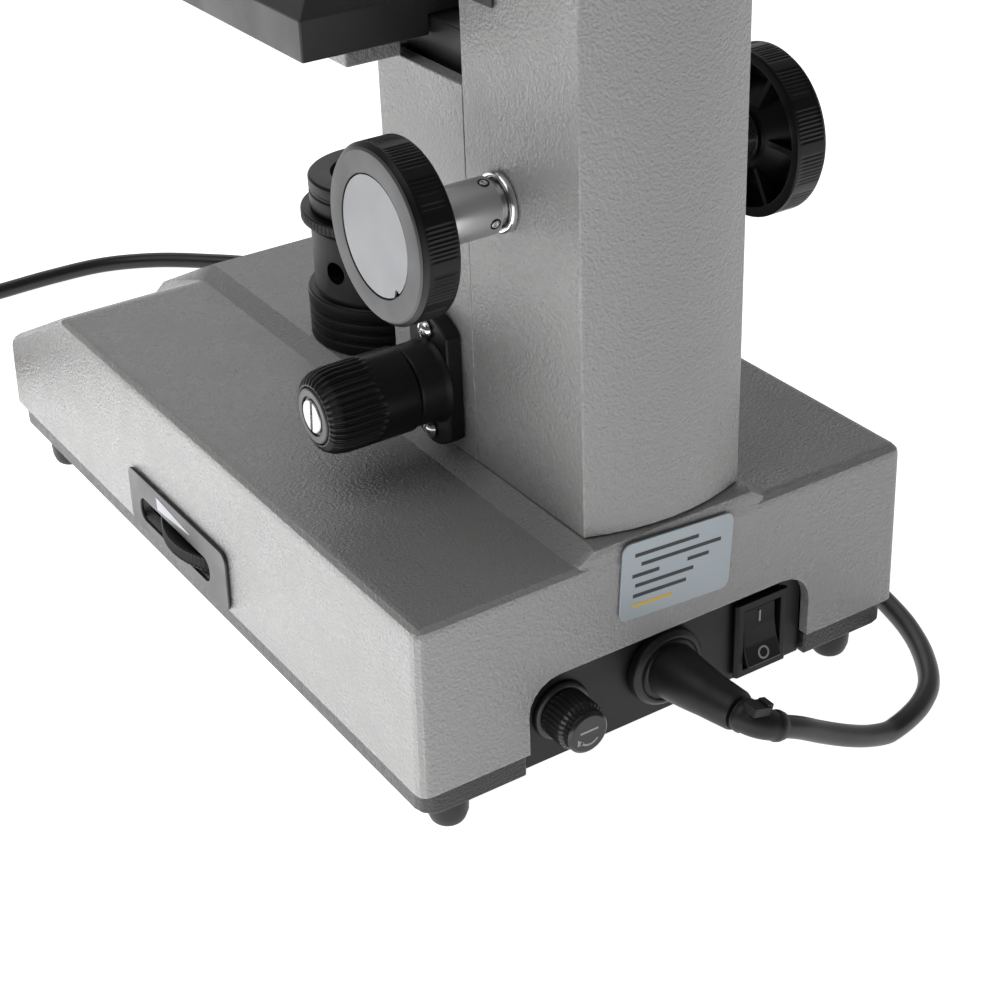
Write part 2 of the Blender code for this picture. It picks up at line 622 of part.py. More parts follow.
def nosepiece():
    base = turned("nose_base", [(0, -20), (21, -20), (21, -43.5), (0, -43.5)],
                  APEX, -TURRET_DIR, "chrome", ROUND)
    cut(base, box("cut_nose_top", (-40, 40), (-60, 60), (LIMB_Z - GAP, LIMB_Z + 50)))
    profile = [(0, -43.8), (21, -43.8), (27, -46), (28.5, -49), (27.5, -52.5), (8, -60.5), (0, -62)]
    ring = turned("turret", profile, APEX, -TURRET_DIR, "chrome", ROUND)
    pieces = [ring]
    tips = {"objective_low": 82.0, "objective_mid": 90.0, "objective_high": 99.7}
    order = ("objective_mid", "objective_high", "objective_low")
    for index, name in enumerate(order):
        aim = objective_axis(index)
        cut(ring, rod(f"cut_seat_{index}", 10.0, APEX + aim * (SEAT - GAP), aim, 20))
        tip = tips[name]
        wide = min(tip - 4, 78.0)
        shape = [(0, -SEAT), (9.4, -SEAT), (9.4, -66), (10.6, -67), (10.6, -wide + 6), (9.0, -wide + 2),
                 (7.6, -wide), (4.6, -tip + 1.0), (3.8, -tip), (0, -tip)]
        pieces.append(turned(name, shape, APEX, -aim, "chrome", SMALL))
    hold("turret_axis", APEX + TURRET_DIR * 50, *pieces)


def head():
    up = Vector((0, -1, 1)).normalized()
    bend = Vector((0, AXIS_Y, ARM_TOP + 23.4))
    body = turned("head_body", [(0, bend.z), (23, bend.z), (23, ARM_TOP + GAP), (0, ARM_TOP + GAP)],
                  (0, AXIS_Y, 0), (0, 0, 1), "paint", ROUND)
    bm = bmesh.new()
    bmesh.ops.create_uvsphere(bm, u_segments=24, v_segments=12, radius=22.6 * MM)
    bmesh.ops.translate(bm, vec=bend * MM, verts=bm.verts)
    ball = add("cut_head_ball", mesh_from(bm, "cut_head_ball"))
    pipe = rod("cut_head_pipe", 15.0, bend, up, 58, steps=ROUND)
    bore = rod("cut_head_bore", 11.9, bend + up * 36, up, 40, steps=ROUND)
    cut(join(body, ball, pipe), bore)
    profile = [(0, 76), (9.5, 76), (9.5, 78.5), (13.4, 78.5), (15.6, 75.5), (15.6, 62),
               (14.6, 58.3), (11.6, 58.3), (11.6, 38), (0, 38)]
    eyepiece = turned("eyepiece", profile, bend, up, "black_metal", ROUND)
    hold("head_axis", (0, AXIS_Y, ARM_TOP), body)
    hold("eyepiece_axis", bend + up * 58, eyepiece)


# ---------------------------------------------------------------- mains cord

BOOT_LINE = [(GLAND_X, 123.0, 26.2), (1.2, 131, 26.3), (0.3, 139.0, 26.3), (-0.8, 146.2, 26.2)]
KEEPER_CORNER = [(-0.85, 146.8, 26.2), (-1.5, 152.8, 25.8), (-6.6, 153.0, 23.7)]
CORD_ROUTE = [(-7.35, 153.0, 23.3), (-14, 153.2, 20.0), (-22, 153.1, 15.0), (-30.6, 152.8, 10.0),
              (-38.6, 152.2, 6.0),
              (-47, 151.0, CORD_Z), (-54.5, 149.4, CORD_Z), (-61.8, 146.6, CORD_Z), (-68.9, 141.8, CORD_Z),
              (-75.2, 134.1, CORD_Z), (-80.8, 124.1, CORD_Z), (-85.2, 111.8, CORD_Z), (-88.5, 95, CORD_Z),
              (-92, 60, CORD_Z), (-95, 0, CORD_Z), (-94, -70, CORD_Z), (-87, -125, CORD_Z), (-72, -176, CORD_Z),
              (-54, -208.5, CORD_Z), (-38, -226, CORD_Z), (-22.8, -238.6, CORD_Z), (-5, -246.6, CORD_Z),
              (15.5, -248.3, CORD_Z), (37.4, -247.6, CORD_Z), (55, -247.6, CORD_Z), (72.0, -248.3, CORD_Z)]


def cord():
    """The mains cord: its visible run, then the rest of its length in a tied coil beside the plug."""
    turned("cord_gland", [(0, 122.6), (9.4, 122.6), (10.6, 121.4), (10.6, PANEL_Y + GAP), (5.1, PANEL_Y + GAP),
                          (5.1, 112), (0, 112)], (GLAND_X, 0, GLAND_Z), (0, 1, 0), "rubber")
    tube("cord_boot", BOOT_LINE, (6.6, 6.3, 5.7, 5.0), "rubber", 4)
    start, corner, end = (Vector(p) for p in KEEPER_CORNER)
    bend = [start.lerp(corner, t).lerp(corner.lerp(end, t), t) for t in (k / 5 for k in range(6))]
    tube("cord_keeper", bend, (4.7, 4.6, 4.5, 4.4, 4.2, 4.0), "rubber", 3)
    points = smooth_path(CORD_ROUTE, CORD_STEP)
    for point in points:
        point.z = max(point.z, CORD_Z)
    tube("cord_tube", points, [CORD_R] * len(points), "rubber", 2)
    wide, tall, low = COIL_WIDE / 2, COIL_TALL, COIL_LOW
    soft = 2.0
    section = [(COIL_R - wide + soft, low + tall), (COIL_R + wide - soft, low + tall),
               (COIL_R + wide, low + tall - soft), (COIL_R + wide, low + soft),
               (COIL_R + wide - soft, low), (COIL_R - wide + soft, low),
               (COIL_R - wide, low + soft), (COIL_R - wide, low + tall - soft)]
    coil = turned("cord_coil", section, COIL_SPOT, (0, 0, 1), "rubber", ROUND, closed=True)
    cx, cy, _ = COIL_SPOT
    out = cx + COIL_R + COIL_STEP
    join(coil, box("cut_coil_tail", (out - CORD_R, out + CORD_R), (cy, cy + PLUG_OFFSET - GAP),
                   (low + 2.5, low + tall)))


def cord_end():
    """The tie around the coil, and the plug lying beside it."""
    cx, cy, _ = COIL_SPOT
    wide, top = COIL_WIDE / 2 + GAP, COIL_LOW + COIL_TALL + GAP
    side = cx - COIL_R
    tie = box("cord_tie", (side - wide - 1, side + wide + 1), (cy - 2, cy + 2), (0.1, top + 1),
              "rubber", bevel=0.8, along="Y", segments=1)
    cut(tie, box("cut_tie", (side - wide, side + wide), (cy - 4, cy + 4), (COIL_LOW - GAP, top)))
    x, y = cx + COIL_R + COIL_STEP, cy + PLUG_OFFSET
    outline = [(4.2, 0), (5.4, 13), (17.6, 20), (17.6, 37), (13.5, 46)]
    outline = outline + [(-a, b) for a, b in reversed(outline)]
    body = prism("plug_body", shifted(outline, x, y), (0.1, PLUG_TALL), "Z", "rubber", bevel=1.2, segments=2)
    for name, way in (("plug_pin_1", 1), ("plug_pin_2", -1)):
        spot = (x + 9.3 * way, y + 40, PLUG_TALL / 2)
        turned(name, [(0, 24.8), (1.4, 24.6), (2.0, 23.6), (2.0, 0), (0, 0)], spot, (0, 1, 0), "brass", HOLE)
        cut(body, rod(f"cut_{name}", 2.0 + GAP, (spot[0], y + 40 - GAP, spot[2]), (0, 1, 0), 10, steps=HOLE))


LOOKS = {
    "paint": ((0.55, 0.55, 0.56), 0.45),
    "black_paint": ((0.02, 0.02, 0.02), 0.5),
    "black_metal": ((0.02, 0.02, 0.022), 0.4, 0.2),
    "rubber": ((0.015, 0.015, 0.015), 0.6),
    "plastic": ((0.015, 0.015, 0.016), 0.35),
    "knob": ((0.02, 0.02, 0.022), 0.4),
    "plate": ((0.06, 0.06, 0.065), 0.4),
    "label": ((0.30, 0.36, 0.40), 0.35),
    "brass": ((0.45, 0.33, 0.12), 0.35, 1.0),
    "board": ((0.02, 0.12, 0.04), 0.5),
    "anodised": ((0.02, 0.02, 0.022), 0.35, 0.4),
    "glass": ((0.75, 0.82, 0.85), 0.05),
    "led": ((0.85, 0.8, 0.45), 0.4),
    "steel": ((0.5, 0.5, 0.52), 0.3, 1.0),
    "aluminium": ((0.62, 0.62, 0.63), 0.35, 1.0),
    "silver": ((0.72, 0.72, 0.74), 0.3, 1.0),
    "chrome": ((0.75, 0.75, 0.77), 0.12, 1.0),
    "stage": ((0.02, 0.02, 0.022), 0.45),
}


def build():
    base_shell()
    base_plate()
    feet()
    rear_panel()
    power_switch()
    fuse()
    rating_label()
    dimmer()
    power_board()
    lamp()
    arm()
    coarse_focus()
    fine_focus()
    hold("stage_slide", (0, 71.4, STAGE_Z), slides(), *stage())
    nosepiece()
    head()
    cord()
    cord_end()


clear_scene()
MODEL = collection(NAME)
CUTTERS = collection("cutters", hidden=True)
build()
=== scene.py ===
"""Finished looks of the microscope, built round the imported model.

Pieces are worked out in millimetres, in the frame of the CAD model, and turned into metres as each
mesh is made. +Z is up, -Y is the stage side, +Y the side with the mains inlet, +X the dimmer's side.
"""

import json
from math import cos, pi, radians, sin, sqrt

import bmesh
import bpy
from mathutils import Matrix, Vector

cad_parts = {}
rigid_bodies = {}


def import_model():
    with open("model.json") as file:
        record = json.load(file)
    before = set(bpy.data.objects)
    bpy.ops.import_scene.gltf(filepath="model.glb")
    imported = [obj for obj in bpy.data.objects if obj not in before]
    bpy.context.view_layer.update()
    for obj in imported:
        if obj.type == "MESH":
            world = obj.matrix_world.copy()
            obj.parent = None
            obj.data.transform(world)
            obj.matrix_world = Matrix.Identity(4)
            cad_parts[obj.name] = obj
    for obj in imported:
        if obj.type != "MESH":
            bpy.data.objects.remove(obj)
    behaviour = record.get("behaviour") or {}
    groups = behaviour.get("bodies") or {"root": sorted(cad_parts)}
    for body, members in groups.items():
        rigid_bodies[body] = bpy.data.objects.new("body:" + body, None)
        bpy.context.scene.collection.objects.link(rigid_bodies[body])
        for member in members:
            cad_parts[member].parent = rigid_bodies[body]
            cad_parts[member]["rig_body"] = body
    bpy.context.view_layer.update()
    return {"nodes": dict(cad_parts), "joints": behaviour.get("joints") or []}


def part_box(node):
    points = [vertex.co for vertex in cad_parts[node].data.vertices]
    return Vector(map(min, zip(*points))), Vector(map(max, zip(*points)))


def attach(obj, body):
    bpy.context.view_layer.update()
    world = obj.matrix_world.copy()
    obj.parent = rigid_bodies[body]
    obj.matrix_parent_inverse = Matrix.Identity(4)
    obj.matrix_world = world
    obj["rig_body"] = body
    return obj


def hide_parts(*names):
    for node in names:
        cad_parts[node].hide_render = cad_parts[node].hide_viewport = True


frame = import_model()

MM = 0.001
NODES = frame["nodes"]
PIVOTS = {j["name"]: Vector(j["pos_m"]) / MM for j in frame["joints"] if "pos_m" in j}
AXES = {j["name"]: Vector(j["axis"]).normalized() for j in frame["joints"]}
UP, ACROSS, BACK = Vector((0, 0, 1)), Vector((1, 0, 0)), Vector((0, 1, 0))
FINE, SMALL = 128, 64      # sides of a large turned piece and of a small one
LOOKS = {}


def span(node):
    """Lowest and highest corner of a CAD node, in millimetres."""
    return [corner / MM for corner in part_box(node)]


# ---------------------------------------------------------------- camera, lights and floor

def add_camera():
    yaw, pitch, roll = radians(32.22), radians(30.51), radians(-2.163)
    ahead = Vector((-sin(yaw) * cos(pitch), -cos(yaw) * cos(pitch), -sin(pitch)))
    level = ahead.cross(UP).normalized()
    upright = level.cross(ahead)
    right = level * cos(roll) + upright * sin(roll)
    top = upright * cos(roll) - level * sin(roll)
    lens = bpy.data.cameras.new("camera")
    lens.sensor_width = 36
    lens.lens = 72.558
    lens.clip_start = 0.01
    camera = bpy.data.objects.new("camera", lens)
    spot = Matrix.Translation((0.25317, 0.44557, 0.31657))
    camera.matrix_world = spot @ Matrix((right, top, -ahead)).transposed().to_4x4()
    bpy.context.scene.collection.objects.link(camera)
    bpy.context.scene.camera = camera


def add_light(name, spot, aim, size, power):
    light = bpy.data.lights.new(name, "AREA")
    light.shape = "RECTANGLE"
    light.size, light.size_y = size
    light.energy = power
    obj = bpy.data.objects.new(name, light)
    obj.location = spot
    obj.rotation_euler = (Vector(aim) - Vector(spot)).to_track_quat("-Z", "Y").to_euler()
    bpy.context.scene.collection.objects.link(obj)


def add_world():
    """Pale behind the object and dim on the other side, as in a tent that is open at the front."""
    world = bpy.data.worlds.new("tent")
    bpy.context.scene.world = world
    world.use_nodes = True
    tree = world.node_tree
    coords = tree.nodes.new("ShaderNodeTexCoord")
    facing = tree.nodes.new("ShaderNodeVectorMath")
    facing.operation = "DOT_PRODUCT"
    facing.inputs[1].default_value = (-0.50, -0.84, -0.15)
    tree.links.new(coords.outputs["Generated"], facing.inputs[0])
    dim, pale = 0.09, 0.50
    glow = ranged(tree, facing.outputs["Value"], dim, pale, -0.5, 0.9)
    glow.node.interpolation_type = "SMOOTHSTEP"
    tree.links.new(glow, tree.nodes["Background"].inputs["Strength"])
    tree.nodes["Background"].inputs["Color"].default_value = (1, 1, 1, 1)


def add_floor():
    """A white light table, which is brightest in a strip along the +X side."""
    mesh = bpy.data.meshes.new("floor")
    half = 100      # in metres, so that its far edge stays near the horizon
    mesh.from_pydata([(-half, -half, 0), (half, -half, 0), (half, half, 0), (-half, half, 0)],
                     [], [(0, 1, 2, 3)])
    ground = bpy.data.objects.new("floor", mesh)
    bpy.context.scene.collection.objects.link(ground)
    made = bpy.data.materials.new("floor")
    made.use_nodes = True
    tree = made.node_tree
    shader = tree.nodes["Principled BSDF"]
    shader.inputs["Base Color"].default_value = (0.8, 0.8, 0.8, 1)
    shader.inputs["Roughness"].default_value = 0.9
    shader.inputs["Emission Color"].default_value = (1, 1, 1, 1)
    coords = tree.nodes.new("ShaderNodeTexCoord")
    split = tree.nodes.new("ShaderNodeSeparateXYZ")
    strip = tree.nodes.new("ShaderNodeValToRGB")
    stops = strip.color_ramp.elements
    stops[0].position, stops[1].position = 0.055, 0.42
    stops[1].color = (0, 0, 0, 1)
    for place in (0.10, 0.24):
        stops.new(place).color = (1, 1, 1, 1)
    tree.links.new(coords.outputs["Object"], split.inputs[0])
    tree.links.new(split.outputs["X"], strip.inputs[0])
    plain, brightest = 0.98, 2.4
    tree.links.new(ranged(tree, strip.outputs[0], plain, brightest, 0, 1),
                   shader.inputs["Emission Strength"])
    mesh.materials.append(made)


# ---------------------------------------------------------------- materials

def material(name, colour, roughness, metallic=0.0, drift=0.1, patch=30.0, grain=(),
             turned_about=None, **more):
    """A material whose colour and roughness drift over patches and whose bump has grains of (size, depth).

    turned_about is (point, axis): the grains then run round the axis, as a lathe leaves them.
    """
    made = bpy.data.materials.new(name)
    made.use_nodes = True
    tree = made.node_tree
    shader = tree.nodes["Principled BSDF"]
    shader.inputs["Metallic"].default_value = metallic
    for socket, value in more.items():
        shader.inputs[socket.replace("_", " ")].default_value = value
    coords = tree.nodes.new("ShaderNodeTexCoord").outputs["Object"]
    cloud = noise(tree, coords, patch, 4)
    blend = tree.nodes.new("ShaderNodeMix")
    blend.data_type = "RGBA"
    tree.links.new(cloud, blend.inputs["Factor"])
    blend.inputs["A"].default_value = (*(c * (1 - drift) for c in colour), 1)
    blend.inputs["B"].default_value = (*(c * (1 + drift) for c in colour), 1)
    tree.links.new(blend.outputs["Result"], shader.inputs["Base Color"])
    spread = 0.07
    uneven = ranged(tree, noise(tree, coords, patch * 0.37, 6), roughness - spread, roughness + spread)
    tree.links.new(uneven, shader.inputs["Roughness"])
    if turned_about:
        coords = lathe_coords(tree, coords, *turned_about)
    before = None
    for size, depth in grain:
        bump = tree.nodes.new("ShaderNodeBump")
        bump.inputs["Strength"].default_value = 1.0
        bump.inputs["Distance"].default_value = depth * MM
        tree.links.new(noise(tree, coords, size, 2), bump.inputs["Height"])
        if before:
            tree.links.new(before, bump.inputs["Normal"])
        before = bump.outputs["Normal"]
    if before:
        tree.links.new(before, shader.inputs["Normal"])
    LOOKS[name] = made
    return made


def noise(tree, coords, size, detail):
    """Noise with features of that size in millimetres."""
    made = tree.nodes.new("ShaderNodeTexNoise")
    made.inputs["Scale"].default_value = 1 / (size * MM)
    made.inputs["Detail"].default_value = detail
    tree.links.new(coords, made.inputs["Vector"])
    return made.outputs["Fac"]


def ranged(tree, value, low, high, start=0.25, end=0.75):
    """Maps start to low and end to high, and holds the value beyond them."""
    made = tree.nodes.new("ShaderNodeMapRange")
    for socket, number in zip(made.inputs[1:5], (start, end, low, high)):
        socket.default_value = number
    tree.links.new(value, made.inputs[0])
    return made.outputs[0]


def lathe_coords(tree, coords, point, axis):
    """(distance from the axis, distance along it, 0)."""
    def vector(operation, *inputs):
        made = tree.nodes.new("ShaderNodeVectorMath")
        made.operation = operation
        for socket, value in zip(made.inputs, inputs):
            if isinstance(value, bpy.types.NodeSocket):
                tree.links.new(value, socket)
            else:
                socket.default_value = value
        return made.outputs["Value" if operation in ("DOT_PRODUCT", "LENGTH") else "Vector"]

    away = vector("SUBTRACT", coords, Vector(point) * MM)
    along = vector("DOT_PRODUCT", away, Vector(axis))
    across = vector("LENGTH", vector("CROSS_PRODUCT", away, Vector(axis)))
    made = tree.nodes.new("ShaderNodeCombineXYZ")
    tree.links.new(across, made.inputs["X"])
    tree.links.new(along, made.inputs["Y"])
    return made.outputs[0]


def edge_wear_and_sheen(made, pale):
    """Paints the paint paler along every edge, concave and convex alike, in broken patches: rubbed paint with
    a painted edge highlight.
    """
    reach, patch = 1.1, 3.0     # in millimetres
    tree = made.node_tree
    shader = tree.nodes["Principled BSDF"]
    rounded_off = tree.nodes.new("ShaderNodeBevel")
    rounded_off.samples = 6
    rounded_off.inputs["Radius"].default_value = reach * MM
    plain = tree.nodes.new("ShaderNodeNewGeometry")
    turn = tree.nodes.new("ShaderNodeVectorMath")
    turn.operation = "DOT_PRODUCT"
    tree.links.new(rounded_off.outputs[0], turn.inputs[0])
    tree.links.new(plain.outputs["Normal"], turn.inputs[1])
    # every edge, concave ones too, takes the paler colour whatever the light: painted edge highlight with
    # rubbed paint
    edge = ranged(tree, turn.outputs["Value"], 1.0, 0.0, 0.90, 0.99)
    coords = tree.nodes.new("ShaderNodeTexCoord").outputs["Object"]
    broken = ranged(tree, noise(tree, coords, patch, 5), 0.0, 0.55, 0.45, 0.62)
    share = tree.nodes.new("ShaderNodeMath")
    share.operation = "MULTIPLY"
    tree.links.new(edge, share.inputs[0])
    tree.links.new(broken, share.inputs[1])
    blend = tree.nodes.new("ShaderNodeMix")
    blend.data_type = "RGBA"
    blend.inputs["B"].default_value = (*pale, 1)
    tree.links.new(share.outputs[0], blend.inputs["Factor"])
    tree.links.new(shader.inputs["Base Color"].links[0].from_socket, blend.inputs["A"])
    tree.links.new(blend.outputs["Result"], shader.inputs["Base Color"])


def add_materials():
    head = PIVOTS["head_turn"]
    coarse, fine, fuse = PIVOTS["coarse_focus"], PIVOTS["fine_focus"], PIVOTS["fuse_cap_turn"]
    turret, turret_axis = PIVOTS["turret_turn"], AXES["turret_turn"]
    paint = material("paint", (0.262, 0.257, 0.256), 0.28, drift=0.025, patch=40,
                     grain=((0.78, 0.31), (0.35, 0.04)))
    # paler edges on the paint: rubbed paint with a painted edge highlight
    edge_wear_and_sheen(paint, (0.50, 0.49, 0.48))
    material("powder", (0.013, 0.013, 0.014), 0.36, drift=0.3, patch=6, grain=((0.75, 0.34), (0.3, 0.05)))
    material("plastic", (0.0045, 0.0045, 0.005), 0.34, drift=0.15, Specular_IOR_Level=0.22,
             grain=((0.35, 0.004), (6, 0.01)))
    material("satin_plastic", (0.006, 0.006, 0.0065), 0.46, drift=0.12, Specular_IOR_Level=0.25,
             grain=((0.25, 0.006), (8, 0.01)))
    material("knob_face", (0.042, 0.042, 0.045), 0.44, drift=0.1, grain=((0.3, 0.004),))
    material("rubber", (0.009, 0.009, 0.0095), 0.46, drift=0.2, Specular_IOR_Level=0.4,
             grain=((0.5, 0.01), (0.12, 0.003)))
    material("cord_rubber", (0.011, 0.011, 0.012), 0.38, drift=0.15, grain=((0.6, 0.006), (14, 0.03)))
    material("panel", (0.007, 0.007, 0.008), 0.42, drift=0.15, Specular_IOR_Level=0.3,
             grain=((0.3, 0.006),))
    material("plate", (0.022, 0.022, 0.025), 0.42, drift=0.1, grain=((0.25, 0.006),))
    material("wedge", (0.42, 0.43, 0.46), 0.45, drift=0.04, grain=((0.3, 0.003),))
    material("mark", (0.30, 0.30, 0.30), 0.5, drift=0.08, grain=((0.2, 0.004),))
    material("label", (0.33, 0.37, 0.40), 0.38, metallic=0.25, drift=0.04, grain=((0.4, 0.003), (12, 0.02)))
    material("label_ink", (0.02, 0.02, 0.022), 0.55, drift=0.2, grain=((0.2, 0.002),))
    material("label_amber", (0.55, 0.38, 0.05), 0.5, drift=0.1, grain=((0.2, 0.002),))
    material("anodised", (0.005, 0.005, 0.0055), 0.40, drift=0.15, Specular_IOR_Level=0.2,
             grain=((0.22, 0.008),), turned_about=(head, UP))
    material("satin_black", (0.013, 0.013, 0.014), 0.40, metallic=0.1, drift=0.15, grain=((0.3, 0.006),))
    material("stage_black", (0.020, 0.020, 0.022), 0.44, drift=0.12, grain=((0.5, 0.012), (0.2, 0.004)))
    material("silver", (0.27, 0.273, 0.285), 0.50, metallic=0.2, drift=0.02,
             grain=((0.25, 0.003),), turned_about=(coarse, ACROSS))
    material("sleeve", (0.62, 0.62, 0.63), 0.30, metallic=1.0, drift=0.04,
             grain=((0.18, 0.006),), turned_about=(coarse, ACROSS))
    material("fine_silver", (0.42, 0.42, 0.43), 0.30, metallic=0.7, drift=0.04,
             grain=((0.18, 0.005),), turned_about=(fine, ACROSS))
    material("fuse_black", (0.014, 0.014, 0.015), 0.36, drift=0.15, grain=((0.3, 0.004),),
             turned_about=(fuse, BACK))
    material("chrome", (0.72, 0.72, 0.73), 0.15, metallic=1.0, drift=0.03, grain=((4, 0.004),))
    material("turned_chrome", (0.70, 0.70, 0.71), 0.20, metallic=1.0, drift=0.03,
             grain=((0.3, 0.003),), turned_about=(turret, turret_axis))
    material("steel", (0.50, 0.50, 0.51), 0.28, metallic=1.0, drift=0.06, grain=((0.2, 0.004), (5, 0.01)))
    material("brass", (0.52, 0.40, 0.17), 0.30, metallic=1.0, drift=0.08, grain=((0.2, 0.003),))
    material("board", (0.02, 0.14, 0.05), 0.45, drift=0.3, patch=3, grain=((0.8, 0.02),))
    material("emitter", (0.80, 0.72, 0.30), 0.40, drift=0.08, patch=2, grain=((0.4, 0.01),))
    material("glass", (0.90, 0.95, 0.97), 0.10, drift=0.01, grain=((9, 0.002),),
             Transmission_Weight=0.75, IOR=1.5)
    material("coated_glass", (0.05, 0.06, 0.10), 0.10, drift=0.2, patch=6, grain=((8, 0.002),),
             Coat_Weight=1.0, Coat_Roughness=0.04)
    for name, colour in (("ring_red", (0.45, 0.02, 0.015)), ("ring_yellow", (0.60, 0.42, 0.02)),
                         ("ring_blue", (0.03, 0.16, 0.45))):
        material(name, colour, 0.35, drift=0.08, grain=((0.3, 0.004),))


# ---------------------------------------------------------------- mesh helpers

def eased(profile, radius, closed=False):
    """The profile with a short curve in place of each sharp corner."""
    nearly_straight = radians(160)
    share = 0.4         # of the shorter side, at most
    found, count = [], len(profile)
    for i, point in enumerate(profile):
        here = Vector(point)
        if not closed and i in (0, count - 1):
            found.append(here)
            continue
        back = Vector(profile[i - 1]) - here
        on = Vector(profile[(i + 1) % count]) - here
        if back.angle(on) > nearly_straight:
            found.append(here)
            continue
        reach = min(radius, share * back.length, share * on.length)
        start, end = here + back.normalized() * reach, here + on.normalized() * reach
        found += [start.lerp(here, t).lerp(here.lerp(end, t), t) for t in (0, 1 / 3, 2 / 3, 1)]
    return found


def lathe(bm, profile, spot, axis, steps=FINE, relief=None, closed=False, ease=0.3):
    """Turns a profile of (radius, height) about the axis.

    relief(angle, radius, height) says how far a point moves out and up.
    """
    turn = UP.rotation_difference(Vector(axis).normalized()).to_matrix()
    middle = Vector(spot)
    rings = []
    for radius, height in eased(profile, ease, closed):
        ring = []
        for k in range(steps if radius > 1e-6 else 1):
            angle = 2 * pi * k / steps
            out, rise = relief(angle, radius, height) if relief else (0, 0)
            point = Vector(((radius + out) * cos(angle), (radius + out) * sin(angle), height + rise))
            ring.append(bm.verts.new((middle + turn @ point) * MM))
        rings.append(ring)
    for near, far in zip(rings, rings[1:] + (rings[:1] if closed else [])):
        for k in range(steps):
            n = (k + 1) % steps
            corners = (near[k % len(near)], near[n % len(near)], far[n % len(far)], far[k % len(far)])
            corners = list(dict.fromkeys(corners))
            if len(corners) > 2:
                bm.faces.new(corners)
    return bm


def prism(bm, outline, ends, axis):
    """Draws an outline across the axis out between its two ends."""
    def place(point, along):
        a, b = point
        return Vector({"X": (along, a, b), "Y": (a, along, b), "Z": (a, b, along)}[axis]) * MM

    near, far = ([bm.verts.new(place(p, end)) for p in outline] for end in ends)
    bm.faces.new(near)
    bm.faces.new(reversed(far))
    for i in range(len(outline)):
        j = (i + 1) % len(outline)
        bm.faces.new((near[i], far[i], far[j], near[j]))
    return bm


def block(bm, x, y, z, turn=Matrix.Identity(4)):
    """Adds a box between two values on each axis, turned afterwards."""
    made = bmesh.ops.create_cube(bm, size=1)["verts"]
    size = [(b - a) * MM for a, b in (x, y, z)]
    middle = [(a + b) / 2 * MM for a, b in (x, y, z)]
    bmesh.ops.scale(bm, vec=size, verts=made)
    bmesh.ops.translate(bm, vec=middle, verts=made)
    bmesh.ops.transform(bm, matrix=turn, verts=made, space=Matrix.Identity(4))


def turn_about(spot, angle, axis):
    """A rotation about a point given in millimetres."""
    middle = Matrix.Translation(Vector(spot) * MM)
    return middle @ Matrix.Rotation(angle, 4, axis) @ middle.inverted()


def sweep(bm, points, radii, sides):
    """A round tube through the points, with a radius at each, closed by flat ends."""
    rings, normal = [], None
    for i, (point, radius) in enumerate(zip(points, radii)):
        before, after = points[max(i - 1, 0)], points[min(i + 1, len(points) - 1)]
        ahead = (Vector(after) - Vector(before)).normalized()
        normal = (UP if normal is None else normal)
        normal = (normal - ahead * normal.dot(ahead)).normalized()
        side = ahead.cross(normal)
        ring = [bm.verts.new((Vector(point) + (normal * cos(a) + side * sin(a)) * radius) * MM)
                for a in (2 * pi * k / sides for k in range(sides))]
        rings.append(ring)
    for near, far in zip(rings, rings[1:]):
        for k in range(sides):
            n = (k + 1) % sides
            bm.faces.new((near[k], near[n], far[n], far[k]))
    bm.faces.new(rings[0])
    bm.faces.new(reversed(rings[-1]))
    return bm


def piece(name, bm, look, node, stands_for=True, bevel=0.0, smooth=35):
    """Makes the mesh a piece that moves with the node's body and, unless told not to, stands for the node."""
    bmesh.ops.recalc_face_normals(bm, faces=bm.faces)
    mesh = bpy.data.meshes.new(name)
    bm.to_mesh(mesh)
    bm.free()
    mesh.materials.append(LOOKS[look])
    mesh.shade_smooth()
    obj = bpy.data.objects.new(name, mesh)
    bpy.context.scene.collection.objects.link(obj)
    if bevel:
        rounding = obj.modifiers.new("Rounding", "BEVEL")
        rounding.width = bevel * MM
        rounding.segments = 3
        rounding.limit_method = "ANGLE"
        rounding.angle_limit = radians(28)
        rounding.harden_normals = True
        obj.modifiers.new("Shading", "WEIGHTED_NORMAL")
    else:
        mesh.set_sharp_from_angle(angle=radians(smooth))
    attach(obj, NODES[node]["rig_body"])
    if stands_for:
        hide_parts(node)
    return obj


def new():
    return bmesh.new()


def add_ring(name, profile, spot, axis, look, node, steps=FINE, ease=0.1):
    """A turned ring that is added to what already stands for the node."""
    ring = lathe(new(), profile, spot, axis, steps, closed=True, ease=ease)
    return piece(name, ring, look, node, stands_for=False)


def refined(node, look, bevel):
    """The CAD solid with its flat faces made whole and its edges rounded."""
    same_point = 2e-6
    bm = new()
    bm.from_mesh(NODES[node].data)
    bmesh.ops.remove_doubles(bm, verts=bm.verts, dist=same_point)
    bmesh.ops.dissolve_limit(bm, angle_limit=radians(0.6), verts=bm.verts, edges=bm.edges)
    piece(f"{node}_finish", bm, look, node, bevel=bevel)


def carried(node, look):
    """A CAD solid that is shown as it is, with a finished material."""
    mesh = NODES[node].data
    mesh.materials.clear()
    mesh.materials.append(LOOKS[look])
    mesh.shade_smooth()
    mesh.set_sharp_from_angle(angle=radians(30))


def teeth(count, depth, low, high, beyond, fade=0.4, narrow=0.6):
    """A relief of grooves side by side round a rim, between two heights and beyond a radius.

    A higher narrow makes the grooves slimmer.
    """
    def relief(angle, radius, height):
        if radius <= beyond:
            return 0, 0
        inside = min(max((height - low) / fade, 0), max((high - height) / fade, 0), 1)
        wave = 0.5 - 0.5 * cos(angle * count)
        return -depth * inside * wave ** narrow, 0

    return relief


def dense(profile, step):
    """The profile with extra points, so that a relief can follow along it."""
    found = []
    for a, b in zip(profile, profile[1:]):
        a, b = Vector(a), Vector(b)
        count = max(1, round((b - a).length / step))
        found += [a.lerp(b, k / count) for k in range(count)]
    return found + [Vector(profile[-1])]


